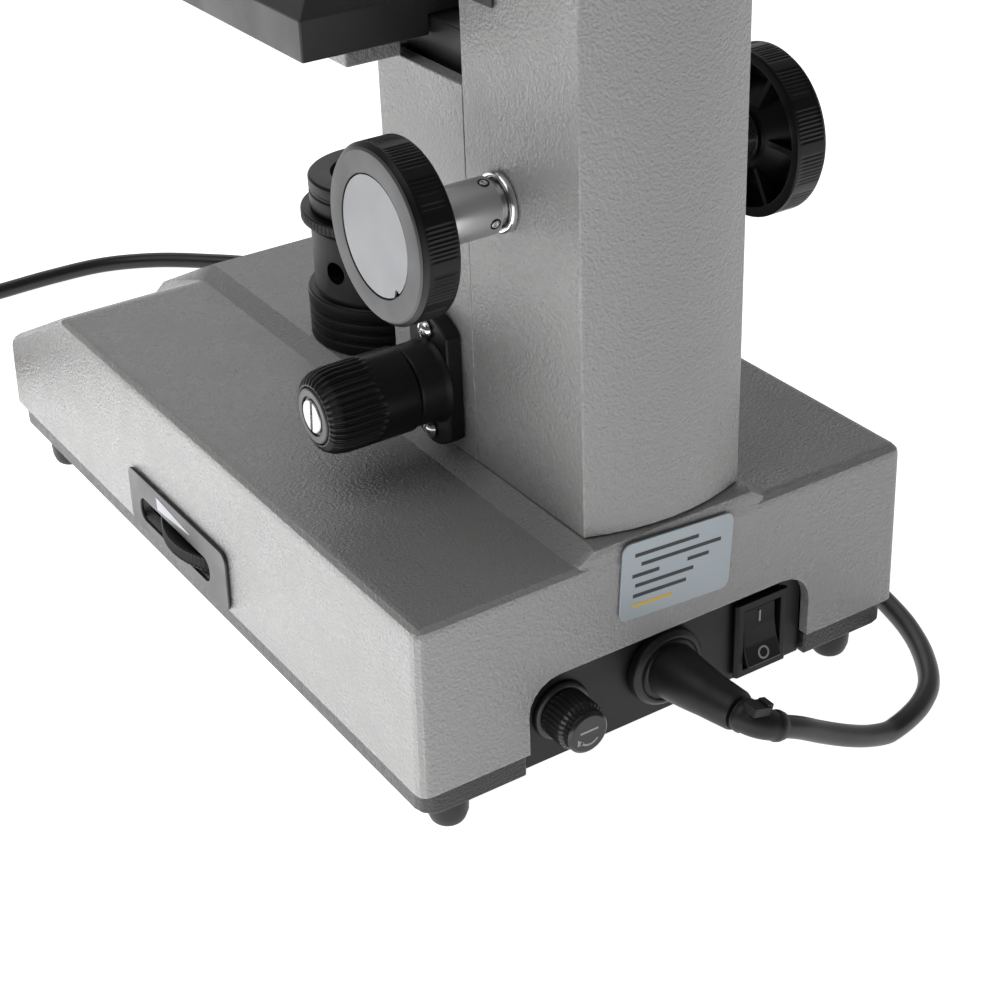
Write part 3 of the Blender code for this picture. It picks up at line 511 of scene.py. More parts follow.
def arc(radius, start, end, steps=24, centre=(0, 0)):
    return [(centre[0] + radius * cos(radians(start + (end - start) * k / steps)),
             centre[1] + radius * sin(radians(start + (end - start) * k / steps))) for k in range(steps + 1)]


# ---------------------------------------------------------------- mains cord

CORD_R = 0.0029
SKIN = 0.00002     # keeps the shown cord just inside the solid one
CORD_Z = CORD_R + 0.0001
ROUTE = [(-0.00735, 0.1530, 0.0233), (-0.0140, 0.1532, 0.0200), (-0.0220, 0.1531, 0.0150),
         (-0.0306, 0.1528, 0.0100), (-0.0386, 0.1522, 0.0060), (-0.0470, 0.1510, CORD_Z),
         (-0.0545, 0.1494, CORD_Z), (-0.0618, 0.1466, CORD_Z), (-0.0689, 0.1418, CORD_Z),
         (-0.0752, 0.1341, CORD_Z), (-0.0808, 0.1241, CORD_Z), (-0.0852, 0.1118, CORD_Z),
         (-0.0885, 0.095, CORD_Z), (-0.092, 0.060, CORD_Z), (-0.095, 0.0, CORD_Z),
         (-0.094, -0.070, CORD_Z), (-0.087, -0.125, CORD_Z), (-0.072, -0.176, CORD_Z),
         (-0.054, -0.2085, CORD_Z), (-0.038, -0.226, CORD_Z), (-0.0228, -0.2386, CORD_Z),
         (-0.005, -0.2466, CORD_Z), (0.0155, -0.2483, CORD_Z), (0.0374, -0.2476, CORD_Z),
         (0.055, -0.2476, CORD_Z), (0.072, -0.2483, CORD_Z)]
COIL_SPOT = (0.096, -0.213)
COIL_R = 0.030
COIL_STEP = 0.0059
COIL_LAYERS = (0.00445, 0.0103)
# (turns since the start, column, layer): the column and layer change smoothly between these
COIL_PLAN = [(-0.25, 1, 0), (0.583, 1, 0), (0.75, 0, 0), (1.417, 0, 0), (1.583, -1, 0), (2.25, -1, 0),
             (2.417, -1, 1), (3.083, -1, 1), (3.25, 0, 1), (4.0, 0, 1), (4.167, 1, 1), (5.0, 1, 1)]
TAIL_DROP = ((0.007, 0.01025), (0.015, 0.0096), (0.0215, 0.0076), (0.0257, 0.00695))


def coil_points():
    per_turn = 30
    found = []
    for (t0, c0, l0), (t1, c1, l1) in zip(COIL_PLAN, COIL_PLAN[1:]):
        count = max(2, round((t1 - t0) * per_turn))
        for k in range(count):
            share = k / count
            ease = share * share * (3 - 2 * share)
            angle = 2 * pi * (t0 + (t1 - t0) * share)
            radius = COIL_R + COIL_STEP * (c0 + (c1 - c0) * ease)
            layer = l0 + (l1 - l0) * ease
            height = COIL_LAYERS[0] + (COIL_LAYERS[1] - COIL_LAYERS[0]) * layer
            found.append(Vector((COIL_SPOT[0] + radius * cos(angle),
                                 COIL_SPOT[1] + radius * sin(angle), height)))
    return found


def smooth_path(route, spacing):
    """Points evenly spaced on a smooth curve through the route's own points."""
    fineness = 16       # points between two of the route's own
    route = [Vector(p) for p in route]
    route = [2 * route[0] - route[1]] + route + [2 * route[-1] - route[-2]]
    close = []
    for i in range(1, len(route) - 2):
        p0, p1, p2, p3 = route[i - 1:i + 3]
        for k in range(fineness):
            t = k / fineness
            close.append(0.5 * (2 * p1 + (p2 - p0) * t + (2 * p0 - 5 * p1 + 4 * p2 - p3) * t * t
                                + (3 * p1 - p0 - 3 * p2 + p3) * t ** 3))
    close.append(route[-2])
    found, walked = [close[0]], 0.0
    for a, b in zip(close, close[1:]):
        walked += (b - a).length
        if walked >= spacing:
            found.append(b)
            walked = 0.0
    return found[:-1] + [close[-1]]


def add_cord():
    x = COIL_SPOT[0] + COIL_R + COIL_STEP
    tail = [(x, COIL_SPOT[1] + along, height) for along, height in TAIL_DROP]
    spacing = 0.0016
    points = smooth_path(ROUTE + coil_points() + [(x, COIL_SPOT[1], COIL_LAYERS[1])] + tail, spacing)
    curve = bpy.data.curves.new("mains_cord", "CURVE")
    curve.dimensions = "3D"
    curve.bevel_depth = CORD_R - SKIN
    curve.bevel_resolution = 6
    curve.use_fill_caps = True
    line = curve.splines.new("POLY")
    line.points.add(len(points) - 1)
    for spot, point in zip(line.points, points):
        spot.co = (point.x, point.y, max(point.z, CORD_Z), 1)
    line.use_smooth = True
    curve.materials.append(LOOKS["cord_rubber"])
    cord = bpy.data.objects.new("mains_cord", curve)
    bpy.context.scene.collection.objects.link(cord)
    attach(cord, NODES["cord_tube"]["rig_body"])
    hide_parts("cord_tube", "cord_coil")
    on_it = [*strain_relief(), tie(), *plug()]
    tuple(ROUTE[0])


def strain_relief():
    """The gland's ring, the tapered boot and the collar that turns the cord aside."""
    lo, hi = span("cord_gland")
    x, z = (lo.x + hi.x) / 2, (lo.z + hi.z) / 2
    ring = 10.6
    gland = lathe(new(), [(0, hi.y), (6.9, hi.y), (7.3, hi.y - 0.5), (8.3, hi.y - 0.5), (8.7, hi.y),
                          (9.4, hi.y), (ring, hi.y - 1.2), (ring, hi.y - 3.5), (5.1, hi.y - 3.5),
                          (5.1, lo.y), (0, lo.y)],
                  (x, 0, z), BACK, ease=0.4)
    made = [piece("gland_ring", gland, "rubber", "cord_gland")]
    line = smooth_path([(x, 123, 26.2), (1.2, 131, 26.3), (0.3, 139, 26.3), (-0.8, 146.2, 26.2)], 0.5)
    last = len(line) - 1
    thick, thin, edge = 7.3, 5.1, 0.35
    radii = [thick - (thick - thin) * (i / last) ** 1.2 for i in range(last + 1)]
    radii[-1] -= edge
    made.append(piece("cord_boot_taper", sweep(new(), line, radii, 48), "rubber", "cord_boot"))
    start, corner = Vector((-0.85, 146.8, 26.2)), Vector((-1.5, 152.8, 25.8))
    end = Vector((-8.3, 153.0, 22.9))      # a little past the cord's start, which the collar grips
    steps, rib, ribbed = 26, 0.3, (2, 3, 4, 22, 23, 24)
    bend = [start.lerp(corner, t).lerp(corner.lerp(end, t), t)
            for t in (k / steps for k in range(steps + 1))]
    radii = [4.3 - 0.75 * k / steps + (rib if k in ribbed else 0) for k in range(steps + 1)]
    collar = sweep(new(), bend, radii, 40)
    ear = turn_about((-2.2, 151.5, 30.2), radians(-16), "Y")
    block(collar, (-4.6, 0.4), (149.2, 153.6), (28.6, 31.0), ear)
    block(collar, (-5.4, -3.4), (149.6, 153.2), (27.2, 31.6), ear)
    made.append(piece("cord_keeper_collar", collar, "rubber", "cord_keeper", bevel=0.35))
    return made


def tie():
    """A strap round the turns, with five small ridges across its top."""
    lo, hi = span("cord_tie")
    wall, half = 1.0, (hi.y - lo.y) / 2
    middle = (lo.y + hi.y) / 2
    outer = [(lo.x, lo.z + 1), (lo.x + 1, lo.z), (hi.x - 1, lo.z), (hi.x, lo.z + 1),
             (hi.x, hi.z - 1.5), (hi.x - 1.5, hi.z), (lo.x + 1.5, hi.z), (lo.x, hi.z - 1.5)]
    inner = [(a + (wall if a < (lo.x + hi.x) / 2 else -wall), b + (wall if b < 6 else -wall))
             for a, b in outer]
    bm = new()
    rows = [[bm.verts.new(Vector((a, y, b)) * MM) for a, b in ring]
            for y in (middle - half, middle + half) for ring in (outer, inner)]
    for first, second in ((0, 1), (1, 3), (3, 2), (2, 0)):
        for i in range(8):
            j = (i + 1) % 8
            bm.faces.new((rows[first][i], rows[first][j], rows[second][j], rows[second][i]))
    for k in range(5):
        x = lo.x + 5.5 + 2.2 * k
        block(bm, (x, x + 0.8), (middle - 1.5, middle + 1.5), (hi.z - 0.15, hi.z))
    return piece("cord_strap", bm, "rubber", "cord_tie", bevel=0.2)


def plug():
    """A flat moulded plug with grip ridges and two sleeved pins."""
    lo, hi = span("plug_body")
    x, y = (lo.x + hi.x) / 2, lo.y
    outline = [(4.2, 0), (5.4, 13), (8.5, 16.4), (15.2, 18.6), (17.6, 21), (17.6, 36), (16.6, 39),
               (13.5, 46)]
    outline += [(-a, b) for a, b in reversed(outline)]
    bm = prism(new(), [(x + a, y + b) for a, b in outline], (lo.z, hi.z), "Z")
    body = piece("plug_shell", bm, "rubber", "plug_body", bevel=1.3)
    ridges = new()
    for k in range(6):
        near = y + 21.5 + 2.4 * k
        block(ridges, (x - 11.5, x + 11.5), (near, near + 1.1), (hi.z - 0.6, hi.z))
        block(ridges, (x + 17.2, x + 17.6), (near, near + 1.1), (lo.z + 2.5, hi.z - 2.5))
        block(ridges, (x - 17.6, x - 17.2), (near, near + 1.1), (lo.z + 2.5, hi.z - 2.5))
    for k in range(4):
        near = y + 1.2 + 3.0 * k
        block(ridges, (x - 4.9 - 0.08 * k, x + 4.9 + 0.08 * k), (near, near + 1.4),
              (lo.z + 1.6, hi.z - 1.6))
    made = [body, piece("plug_grips", ridges, "rubber", "plug_body", stands_for=False, bevel=0.2)]
    for number in (1, 2):
        low, high = span(f"plug_pin_{number}")
        spot = ((low.x + high.x) / 2, 0, (low.z + high.z) / 2)
        length = high.y
        pin = lathe(new(), [(0, length), (1.0, length - 0.1), (1.7, length - 0.7), (1.95, length - 1.8),
                            (1.95, low.y), (0, low.y)], spot, BACK, SMALL)
        made.append(piece(f"plug_pin_{number}_metal", pin, "brass", f"plug_pin_{number}"))
        sleeve = [(1.9, low.y + 6), (2.0, low.y + 6), (2.0, low.y + 16), (1.9, low.y + 16)]
        made.append(add_ring(f"plug_pin_{number}_sleeve", sleeve, spot, BACK, "rubber",
                             f"plug_pin_{number}", SMALL, 0.05))
    return made


# ---------------------------------------------------------------- base

def add_base():
    refined("base_shell", "paint", 0.55)
    refined("base_plate", "powder", 0.6)
    for node in ("foot_front_L", "foot_front_R", "foot_rear_L", "foot_rear_R"):
        lo, hi = span(node)
        middle = ((lo.x + hi.x) / 2, (lo.y + hi.y) / 2, 0)
        shape = [(0, hi.z), (5.4, hi.z), (5.35, 6.5), (5.2, 3.5), (4.4, 1.1), (3.2, 0.05), (0, 0.05)]
        piece(f"{node}_pad", lathe(new(), shape, middle, UP, SMALL, ease=0.8), "rubber", node)
    refined("rear_panel", "panel", 0.2)
    carried("power_board", "board")
    carried("dimmer_pot", "brass")


def add_switch():
    refined("switch_body", "satin_plastic", 0.35)
    refined("switch_rocker", "plastic", 0.45)
    pivot = PIVOTS["rocker_tip"]
    marks = new()
    high = Vector((pivot.x, pivot.y + 0.42, pivot.z + 5.0))
    block(marks, (high.x - 0.28, high.x + 0.28), (high.y - 0.1, high.y + 0.12),
          (high.z - 1.7, high.z + 1.7))
    low = Vector((pivot.x, pivot.y + 2.45, pivot.z - 5.2))
    slope = Vector((0, 2.3, -5.4)).normalized()
    out = Vector((0, -slope.z, slope.y))
    ring = [(1.25, 0.12), (1.75, 0.12), (1.75, -0.1), (1.25, -0.1)]
    piece("rocker_on_mark", marks, "mark", "switch_rocker", stands_for=False)
    add_ring("rocker_off_mark", ring, low, out, "mark", "switch_rocker", SMALL, 0.03)


def add_fuse():
    pivot = PIVOTS["fuse_cap_turn"]
    spot = (pivot.x, 0, pivot.z)
    lo, hi = span("fuse_holder")
    face = hi.y
    holder = [(0, lo.y + 8), (4.9, lo.y + 8), (4.9, face), (7.0, face), (7.7, face - 0.3), (8.0, face - 0.9),
              (8.0, face - 1.4), (6.0, face - 1.4), (6.0, lo.y), (0, lo.y)]
    piece("fuse_bezel", lathe(new(), holder, spot, BACK, SMALL, ease=0.2), "fuse_black", "fuse_holder")
    lo, hi = span("fuse_cap")
    top = hi.y
    count = 30
    ribs = teeth(count, 0.32, face + 0.5, top - 0.9, 5.0)
    cap = dense([(0, top), (4.9, top), (5.7, top - 0.7), (5.7, top - 3.2), (6.6, top - 3.8),
                 (6.6, face + 0.3), (4.6, face + 0.3), (4.6, lo.y), (0, lo.y)], 0.7)
    body = lathe(new(), cap, spot, BACK, count * 8, ribs, ease=0.15)
    piece("fuse_cap_knurled", body, "fuse_black", "fuse_cap")
    bm = new()
    start, end = 215, 320       # degrees of the turning arrow
    bend = arc(3.3, start, end) + arc(2.75, end, start)
    prism(bm, [(pivot.x - a, pivot.z + b) for a, b in bend], (top - 0.1, top + 0.06), "Y")
    tip = Vector((3.02 * cos(radians(start)), 3.02 * sin(radians(start))))
    head = [tip + Vector((-0.9, 1.2)), tip + Vector((-1.0, -0.75)), tip + Vector((0.95, -0.35))]
    prism(bm, [(pivot.x - p.x, pivot.z + p.y) for p in head], (top - 0.1, top + 0.06), "Y")
    block(bm, (pivot.x - 2.6, pivot.x + 2.6), (top - 0.1, top + 0.05), (pivot.z + 0.55, pivot.z + 1.15))
    piece("fuse_cap_marks", bm, "mark", "fuse_cap", stands_for=False)


def add_label():
    """A blank rating label: plain bars stand where an instrument has its print."""
    refined("label_plate", "label", 0.12)
    lo, hi = span("label_plate")
    middle = ((lo.x + hi.x) / 2, 0, (lo.z + hi.z) / 2)
    tilt = turn_about(middle, radians(-3.6), "Y")
    ink, amber = new(), new()
    rows = ((7.0, 13.0, 19.0), (4.2, 11.0, 24.0), (1.4, 13.5, 8.0), (1.4, -3.0, 6.5), (-1.4, 12.5, 17.5),
            (-4.2, 13.0, 16.0))
    for rise, right, length in rows:
        start = middle[0] + right
        block(ink, (start - length, start), (hi.y - 0.05, hi.y + 0.04),
              (middle[2] + rise - 0.5, middle[2] + rise + 0.5), tilt)
    start = middle[0] + 13.0
    block(amber, (start - 12.0, start), (hi.y - 0.05, hi.y + 0.04),
          (middle[2] - 7.4, middle[2] - 6.5), tilt)
    piece("label_bars", ink, "label_ink", "label_plate", stands_for=False)
    piece("label_amber_bar", amber, "label_amber", "label_plate", stands_for=False)


def add_dimmer():
    refined("dimmer_plate", "plate", 0.3)
    lo, hi = span("dimmer_plate")
    draft = 0.02
    face = hi.x - draft * (32.6 - lo.z)
    bm = prism(new(), [(-17.6, 30.6), (-17.6, 34.8), (3.1, 32.8), (3.1, 32.5)],
               (face - 0.2, face + 0.05), "X")
    piece("dimmer_wedge", bm, "wedge", "dimmer_plate", stands_for=False)
    pivot = PIVOTS["dimmer_turn"]
    low, high, rim, count = 23.7, 28.3, 30.0, 132
    ribs = teeth(count, 0.5, low + 0.3, high - 0.3, rim - 0.6)
    profile = dense([(0, 34.9), (3, 34.9), (3, high), (rim - 3.5, high), (rim - 0.5, high), (rim, high - 0.5),
                     (rim, low + 0.5), (rim - 0.5, low), (rim - 3.5, low), (0, low)], 1.2)
    wheel = lathe(new(), profile, (pivot.x, pivot.y, 0), UP, count * 6, ribs, ease=0.2)
    piece("dimmer_wheel_ribbed", wheel, "satin_plastic", "dimmer_wheel")


# ---------------------------------------------------------------- lamp

def add_lamp():
    lo, hi = span("lamp_housing")
    spot = ((lo.x + hi.x) / 2, (lo.y + hi.y) / 2, 0)
    step, top, foot = 83.1, hi.z, lo.z
    outer = [(15.5, top), (19.8, top), (19.8, step), (21.4, step), (22, step - 0.6)]
    for groove in (79.4, 76.2, 73.0):
        outer += [(22, groove), (21.1, groove - 0.5), (21.1, groove - 0.9), (22, groove - 1.4)]
    outer += [(22, foot), (15.5, foot)]
    housing = piece("lamp_barrel", lathe(new(), outer, spot, UP, FINE, closed=True), "anodised",
                    "lamp_housing")
    cutters = new()
    vent_r, vent_height, reach = 3.2, 91.5, 25
    for k in range(3):
        turn = radians(17 + 60 * k)
        aim = Vector((cos(turn), sin(turn), 0))
        lathe(cutters, [(0, reach), (vent_r, reach), (vent_r, -reach), (0, -reach)],
              (spot[0], spot[1], vent_height), aim, 40, ease=0)
    pierce(housing, cutters)
    collar = [(15.5, 106.5), (21.9, 106.5), (22.3, 106.1), (22.3, 103.6), (20.4, 101.9), (15.5, 101.9)]
    count = 90
    grip = teeth(count, 0.3, 103.8, 106.2, 21.5)
    turned = lathe(new(), dense(collar + collar[:1], 0.8)[:-1], spot, UP, count * 4, grip, closed=True,
                   ease=0.1)
    piece("lamp_collar_turned", turned, "anodised", "lamp_collar")
    ring = [(13.3, 115.8), (19.0, 115.8), (19.6, 115.2), (19.6, 112.4), (19.2, 112.0), (19.2, 111.4),
            (19.6, 111.0), (19.6, 106.8), (11, 106.8), (11, 112), (13.3, 112)]
    piece("lamp_ring_turned", lathe(new(), ring, spot, UP, FINE, closed=True, ease=0.15), "anodised",
          "lamp_top_ring")
    dome = [(13 * sin(radians(a)), 112.3 + 3.6 * cos(radians(a))) for a in range(0, 86, 6)]
    dome += [(13, 112.4), (0, 112.3)]
    piece("lamp_lens_dome", lathe(new(), dome, spot, UP, FINE, ease=0.1), "glass", "lamp_lens")
    carried("led_emitter", "emitter")


def pierce(obj, cutters):
    """Cuts the holes out of the piece for good."""
    bmesh.ops.recalc_face_normals(cutters, faces=cutters.faces)
    mesh = bpy.data.meshes.new("cutters")
    cutters.to_mesh(mesh)
    cutters.free()
    tool = bpy.data.objects.new("cutters", mesh)
    bpy.context.scene.collection.objects.link(tool)
    step = obj.modifiers.new("Holes", "BOOLEAN")
    step.object = tool
    step.solver = "EXACT"
    step.use_self = True
    bpy.context.view_layer.update()
    done = bpy.data.meshes.new_from_object(obj.evaluated_get(bpy.context.evaluated_depsgraph_get()))
    obj.modifiers.remove(step)
    obj.data = done
    done.set_sharp_from_angle(angle=radians(35))
    bpy.data.objects.remove(tool)


# ---------------------------------------------------------------- arm and focusing

def add_arm():
    refined("arm_casting", "paint", 0.9)
    refined("arm_cover", "paint", 0.7)
    refined("side_strip", "plate", 0.25)
    carried("fine_block", "steel")
    carried("coarse_shaft", "steel")
    refined("carriage", "satin_black", 0.4)


def grouped_ribs(low, high, groups):
    """Fine ribs in groups with a plain stretch after each, as on a moulded knob."""
    ribs, depth, fade, ribbed = 8, 0.2, 0.5, 0.74

    def relief(angle, radius, height):
        if radius < 20:
            return 0, 0
        inside = min(max((height - low) / fade, 0), max((high - height) / fade, 0), 1)
        share = (angle * groups / (2 * pi)) % 1
        if share > ribbed:
            return 0, 0
        return -depth * inside * (0.5 - 0.5 * cos(2 * pi * share / ribbed * ribs)) ** 0.7, 0

    return relief


def add_coarse_focus():
    pivot = PIVOTS["coarse_focus"]
    spot = (0, pivot.y, pivot.z)
    lo, hi = span("coarse_knob_R")
    inner, outer, rim = lo.x, hi.x, (hi.z - lo.z) / 2
    groups, inlay_r, notch_at, notch_half = 12, 13.9, -54, 5.4
    for side, way in (("R", ACROSS), ("L", -ACROSS)):
        profile = dense([(14.2, outer - 1.0), (14.2, outer - 0.1)], 0.6)
        profile += dense([(19.2, outer - 0.1), (rim, outer - 1.5), (rim, inner + 0.4), (rim - 0.4, inner),
                          (18.2, inner), (18.2, inner + 5.4), (13.3, inner + 5.4), (8.1, inner),
                          (3.3, inner), (3.3, outer - 1.5), (0, outer - 1.5)], 0.9)
        profile = [(0, outer - 1.0)] + [tuple(p) for p in profile]
        ribs = grouped_ribs(inner + 0.6, outer - 1.9, groups)
        body = lathe(new(), profile, spot, way, groups * 60, ribs, ease=0.12)
        for k in range(6):
            turn = turn_about(spot, radians(30 + 60 * k), "X")
            near, far = sorted((way.x * (inner + 0.5), way.x * (inner + 5.6)))
            block(body, (near, far), (spot[1] - 0.7, spot[1] + 0.7), (spot[2] + 9.0, spot[2] + 18.5), turn)
        piece(f"coarse_knob_{side}_body", body, "plastic", f"coarse_knob_{side}")
        ring = [(14.3, outer - 0.35), (14.3, outer), (19.3, outer), (19.9, outer - 0.45), (14.6, outer - 0.5)]
        add_ring(f"coarse_knob_{side}_face", ring, spot, way, "knob_face", f"coarse_knob_{side}")
        middle = (inlay_r * cos(radians(notch_at)), inlay_r * sin(radians(notch_at)))
        notch = arc(1.3, notch_at + 170, notch_at + 10, 10, centre=middle)
        disc = arc(inlay_r, notch_at + notch_half, notch_at + 360 - notch_half, 96) + notch
        ends = sorted((way.x * (outer - 0.7), way.x * (outer - 0.15)))
        disc = prism(new(), [(spot[1] + a, spot[2] + b) for a, b in disc], ends, "X")
        piece(f"coarse_knob_{side}_inlay", disc, "silver", f"coarse_cap_{side}", bevel=0.2)
        add_sleeve(side, way, spot)
    lo, hi = span("coarse_ring_R")
    near, far = lo.x, hi.x
    ring = [(6.4, far), (7.0, far - 0.1), (7.3, far - 0.6), (7.3, near), (5.7, near), (5.7, far - 0.6)]
    piece("coarse_ring_bright", lathe(new(), ring, spot, ACROSS, SMALL, closed=True), "chrome",
          "coarse_ring_R")


def add_sleeve(side, way, spot):
    lo, hi = span(f"coarse_sleeve_{side}")
    neck, top = sorted((abs(lo.x), abs(hi.x)))
    profile = [(5.9, top), (6.5, top), (6.8, top - 0.4), (6.8, neck + 3.6), (5.3, neck + 3.3), (5.3, neck),
               (3.4, neck), (3.4, top - 2), (5.0, top - 2), (5.0, top)]
    piece(f"coarse_sleeve_{side}_turned", lathe(new(), profile, spot, way, FINE, closed=True, ease=0.15),
          "sleeve", f"coarse_sleeve_{side}")
    screws, holes = new(), new()
    for k in range(4):
        turn = radians(73 + 90 * k)
        aim = Vector((0, cos(turn), sin(turn)))
        at = Vector(spot) + way * (neck + 5.6)
        lathe(screws, [(0, 6.4), (0.4, 6.4), (0.5, 6.95), (0.85, 6.95), (0.95, 6.8), (0.95, 5.5), (0, 5.5)],
              at, aim, 24, ease=0.05)
        # a near-black ring round each screw head stands for the shaded hole it sits in: painted shade
        lathe(holes, [(1.0, 6.84), (1.4, 6.84), (1.4, 6.2), (1.0, 6.2)], at, aim, 24, closed=True, ease=0.05)
    piece(f"coarse_sleeve_{side}_screws", screws, "chrome", f"coarse_sleeve_{side}", stands_for=False)
    # painted shade: dark rings for the shaded holes round the screws
    piece(f"coarse_sleeve_{side}_holes", holes, "plastic", f"coarse_sleeve_{side}", stands_for=False)


def cross_slot(width, reach, depth):
    """A relief that sinks a cross into a screw head."""
    def relief(angle, radius, height):
        a, b = abs(radius * cos(angle)), abs(radius * sin(angle))
        cut = radius < reach and min(a, b) < width / 2
        return 0, -depth if cut else 0

    return relief


def add_fine_focus():
    pivot = PIVOTS["fine_focus"]
    spot = (0, pivot.y, pivot.z)
    base = span("fine_flange")[0].x
    half, corner, end, steps = 8.9, 14.0, 18.0, 24
    bow = [(half * (1 - 2 * k / steps), corner + (end - corner) * (1 - (1 - 2 * k / steps) ** 2))
           for k in range(steps + 1)]
    outline = bow + [(-a, -b) for a, b in bow]
    plate = prism(new(), [(spot[1] + a, spot[2] + b) for a, b in outline], (base, base + 4.4), "X")
    piece("fine_flange_plate", plate, "satin_plastic", "fine_flange", bevel=0.6)
    barrel = [(3.5, base + 12.7), (9.8, base + 12.7), (10.4, base + 12.1), (10.6, base + 5.6),
              (11.6, base + 4.3), (3.5, base + 4.3)]
    add_ring("fine_flange_barrel", barrel, spot, ACROSS, "satin_plastic", "fine_flange", ease=0.8)
    for name in ("top", "bottom"):
        low, high = span(f"fine_screw_{name}")
        at = (0, (low.y + high.y) / 2, (low.z + high.z) / 2)
        crown = high.x
        dome = [(2.5 * sin(radians(a)), crown - 1.9 + 1.9 * cos(radians(a))) for a in range(0, 91, 5)]
        head = dome + [(1.3, crown - 1.95), (1.3, low.x), (0, low.x)]
        screw = lathe(new(), head, at, ACROSS, 96, cross_slot(0.75, 1.75, 0.7), ease=0)
        piece(f"fine_screw_{name}_head", screw, "chrome", f"fine_screw_{name}", smooth=50)
    tip, count = base + 36.2, 36
    profile = dense([(0, tip), (7.4, tip), (7.4, tip + 1.2), (8.0, tip + 1.2), (9.4, tip + 0.4),
                     (10.5, tip - 1.6), (11.0, tip - 4.6), (11.0, base + 13.5), (10.6, base + 13.0),
                     (3, base + 13.0), (3, 6), (0, 6)], 0.8)
    ribs = teeth(count, 0.6, tip - 12.8, tip + 1.3, 7.7, 0.5, 1.4)
    piece("fine_knob_ribbed", lathe(new(), profile, spot, ACROSS, count * 14, ribs, ease=0.3), "plastic",
          "fine_knob")
    cap = span("fine_knob_cap")[1].x

    def slot(angle, radius, height):
        cut = abs(radius * sin(angle + 0.1)) < 0.5 and radius < 4.25 and height > cap - 0.3
        return 0, -0.7 if cut else 0

    bright = dense([(0, cap), (4.1, cap), (4.3, cap - 0.2), (4.3, cap - 1.5)], 0.18) + [(0, cap - 1.5)]
    piece("fine_knob_screw", lathe(new(), bright, spot, ACROSS, 240, slot, ease=0.02), "fine_silver",
          "fine_knob_cap")
    gap = [(4.32, cap - 0.7), (5.1, cap - 0.7), (5.1, cap - 1.4), (4.32, cap - 1.4)]
    add_ring("fine_knob_gap", gap, spot, ACROSS, "plastic", "fine_knob_cap", SMALL, 0.05)
    collar = [(5.12, cap - 0.2), (6.8, cap - 0.2), (7.1, cap - 0.5), (7.1, cap - 1.4), (5.12, cap - 1.4)]
    add_ring("fine_knob_collar", collar, spot, ACROSS, "knob_face", "fine_knob_cap")


# ---------------------------------------------------------------- stage

def add_stage():
    refined("stage_top", "stage_black", 0.5)
    refined("stage_bracket", "paint", 0.6)
    refined("diaphragm_disc", "satin_black", 0.2)
    top, hub = span("stage_top")[1].z, PIVOTS["head_turn"]
    rim = [(10.0, top), (10.9, top), (10.9, top - 0.6), (10.0, top - 0.6)]
    add_ring("stage_hole_rim", rim, (hub.x, hub.y, 0), UP, "steel", "stage_top")
    for side in ("R", "L"):
        add_clip(side)


def add_clip(side):
    joint = "clip_right_swing" if side == "R" else "clip_left_swing"
    pivot = PIVOTS[joint]
    lo, hi = span(f"clip_{side}")
    low, top, count = lo.z, hi.z, 28
    knurl = teeth(count, 0.25, low + 1.9, top - 0.4, 3.7, 0.3)
    post = dense([(0, top - 0.2), (2.9, top - 0.2), (3.4, top), (4.0, top - 0.6), (4.0, low + 1.6),
                  (2.6, low + 1.6), (2.6, low), (0, low)], 0.6)
    body = lathe(new(), post, (pivot.x, pivot.y, 0), UP, count * 6, knurl, ease=0.1)
    reach, steps, thick, rounded_from = 56.0, 40, 0.8, 0.93
    rows = []
    for k in range(steps + 1):
        share = k / steps
        along = 2.0 - reach * share - 1.8 * share
        half = 3.4 - 0.9 * share
        if share > rounded_from:
            half *= sqrt(max(0.05, 1 - ((share - rounded_from) / 0.072) ** 2))
        height = low + 0.9 - 0.75 * sin(pi * min(1, share * 1.05)) ** 2
        height += 9.6 * max(0, share - 0.86) ** 1.2
        corners = ((-half, height), (half, height), (half, height + thick), (-half, height + thick))
        rows.append([body.verts.new(Vector((pivot.x + a, pivot.y + along, max(b, low + 0.02))) * MM)
                     for a, b in corners])
    for near, far in zip(rows, rows[1:]):
        for i in range(4):
            j = (i + 1) % 4
            body.faces.new((near[i], near[j], far[j], far[i]))
    body.faces.new(rows[0])
    body.faces.new(reversed(rows[-1]))
    piece(f"clip_{side}_spring", body, "steel", f"clip_{side}")


# ---------------------------------------------------------------- nosepiece and head

def add_nosepiece():
    axis, middle = AXES["turret_turn"], PIVOTS["turret_turn"]
    apex = middle - axis * 50
    refined("nose_base", "turned_chrome", 0.5)
    count = 96
    grip = teeth(count, 0.35, -51.6, -46.8, 26.9, 0.5)
    profile = dense([(0, -43.8), (21, -43.8), (27, -46), (28.3, -46.6), (28.5, -49), (27.9, -51.8),
                     (27.3, -52.5), (26.0, -53.3), (8, -60.5), (0, -62)], 1.0)
    turret = lathe(new(), profile, apex, -axis, count * 6, grip, ease=0.2)
    turret = piece("turret_knurled", turret, "turned_chrome", "turret")
    seats = new()
    objectives = (("objective_mid", 90.0, "ring_yellow"), ("objective_high", 99.7, "ring_blue"),
                  ("objective_low", 82.0, "ring_red"))
    lean = Matrix.Rotation(radians(-18), 3, "X")
    for index, (name, tip, ring) in enumerate(objectives):
        aim = Matrix.Rotation(2 * pi * index / 3, 3, axis) @ (lean @ axis)
        lathe(seats, [(0, 20), (10.0, 20), (10.0, 0), (0, 0)], apex + aim * 56.7, aim, SMALL, ease=0)
        add_objective(name, tip, ring, apex, aim)
    pierce(turret, seats)


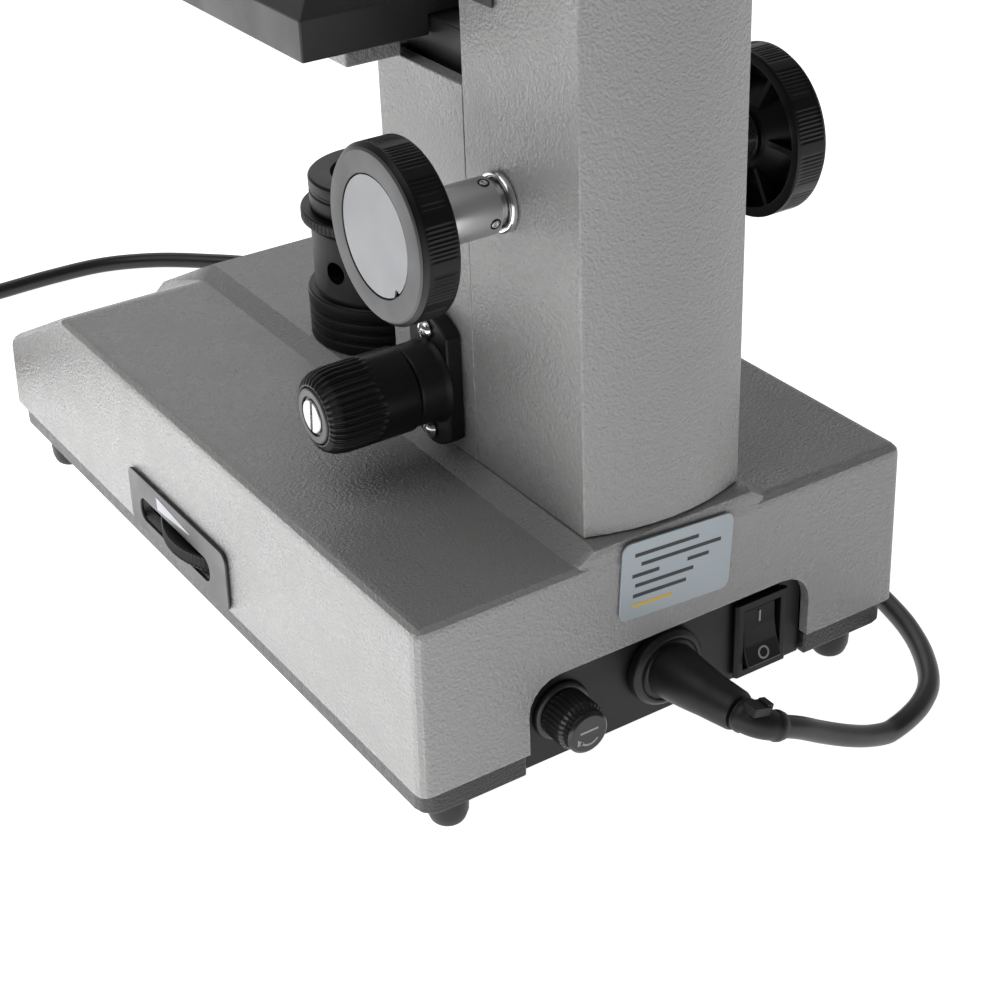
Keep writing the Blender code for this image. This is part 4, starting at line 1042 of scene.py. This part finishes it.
def add_objective(name, tip, ring, apex, aim):
    wide, count = min(tip - 4, 78.0), 48
    knurl = teeth(count, 0.25, -72.0, -67.4, 10.4)
    shape = dense([(0, -57), (9.4, -57), (9.4, -66), (10.6, -67), (10.6, -wide + 3.5), (9.4, -wide + 2.2),
                   (8.8, -wide + 1.8), (7.6, -wide), (4.8, -tip + 1.2), (4.0, -tip), (2.6, -tip),
                   (2.3, -tip + 0.5), (0, -tip + 0.5)], 0.9)
    body = lathe(new(), shape, apex, -aim, count * 6, knurl, ease=0.15)
    piece(f"{name}_barrel", body, "turned_chrome", name)
    band = [(9.5, -62.2), (9.62, -62.2), (9.62, -63.8), (9.5, -63.8), (9.2, -63.0)]
    add_ring(f"{name}_colour_ring", band, apex, -aim, ring, name, ease=0.05)
    bead = [(0, -tip + 0.12), (1.3, -tip + 0.22), (2.2, -tip + 0.5), (2.2, -tip + 0.9), (0, -tip + 0.9)]
    piece(f"{name}_front_lens", lathe(new(), bead, apex, -aim, SMALL, ease=0.1), "coated_glass", name,
          stands_for=False)


def add_head():
    refined("head_body", "paint", 0.6)
    hub = PIVOTS["head_turn"]
    axis = AXES["eyepiece_turn"]
    bend = PIVOTS["eyepiece_turn"] - axis * 58
    collar = [(23.0, hub.z + 1.2), (23.35, hub.z + 1.6), (23.35, hub.z + 4.4), (23.0, hub.z + 4.8)]
    add_ring("head_collar_line", collar, (hub.x, hub.y, 0), UP, "satin_black", "head_body")
    profile = [(0, 75.6), (9.0, 75.6), (9.5, 76.0), (9.5, 77.6), (10.4, 78.5), (12.6, 78.5), (14.2, 77.6),
               (15.6, 75.2), (15.6, 70.4), (15.0, 69.8), (15.0, 68.8), (15.6, 68.2), (15.6, 62),
               (14.6, 58.3), (11.6, 58.3), (11.6, 38), (0, 38)]
    piece("eyepiece_turned", lathe(new(), profile, bend, axis, FINE, ease=0.5), "satin_black", "eyepiece")
    bead = [(9.0 * sin(radians(a)), 75.7 + 1.1 * cos(radians(a))) for a in range(0, 91, 6)] + [(0, 75.5)]
    piece("eyepiece_lens", lathe(new(), bead, bend, axis, FINE, ease=0), "coated_glass", "eyepiece",
          stands_for=False)


# ---------------------------------------------------------------- the scene

add_camera()
add_materials()
add_cord()
add_world()
add_floor()
add_light("back_soft", (-0.35, -0.95, 0.75), (0, 0, 0.15), (0.9, 0.5), 1.6)
add_light("top_soft", (0.55, 0.02, 1.0), (0, 0, 0.1), (0.9, 0.9), 3.8)
add_base()
add_switch()
add_fuse()
add_label()
add_dimmer()
add_lamp()
add_arm()
add_coarse_focus()
add_fine_focus()
add_stage()
add_nosepiece()
add_head()
bpy.context.scene.view_settings.view_transform = "Standard"
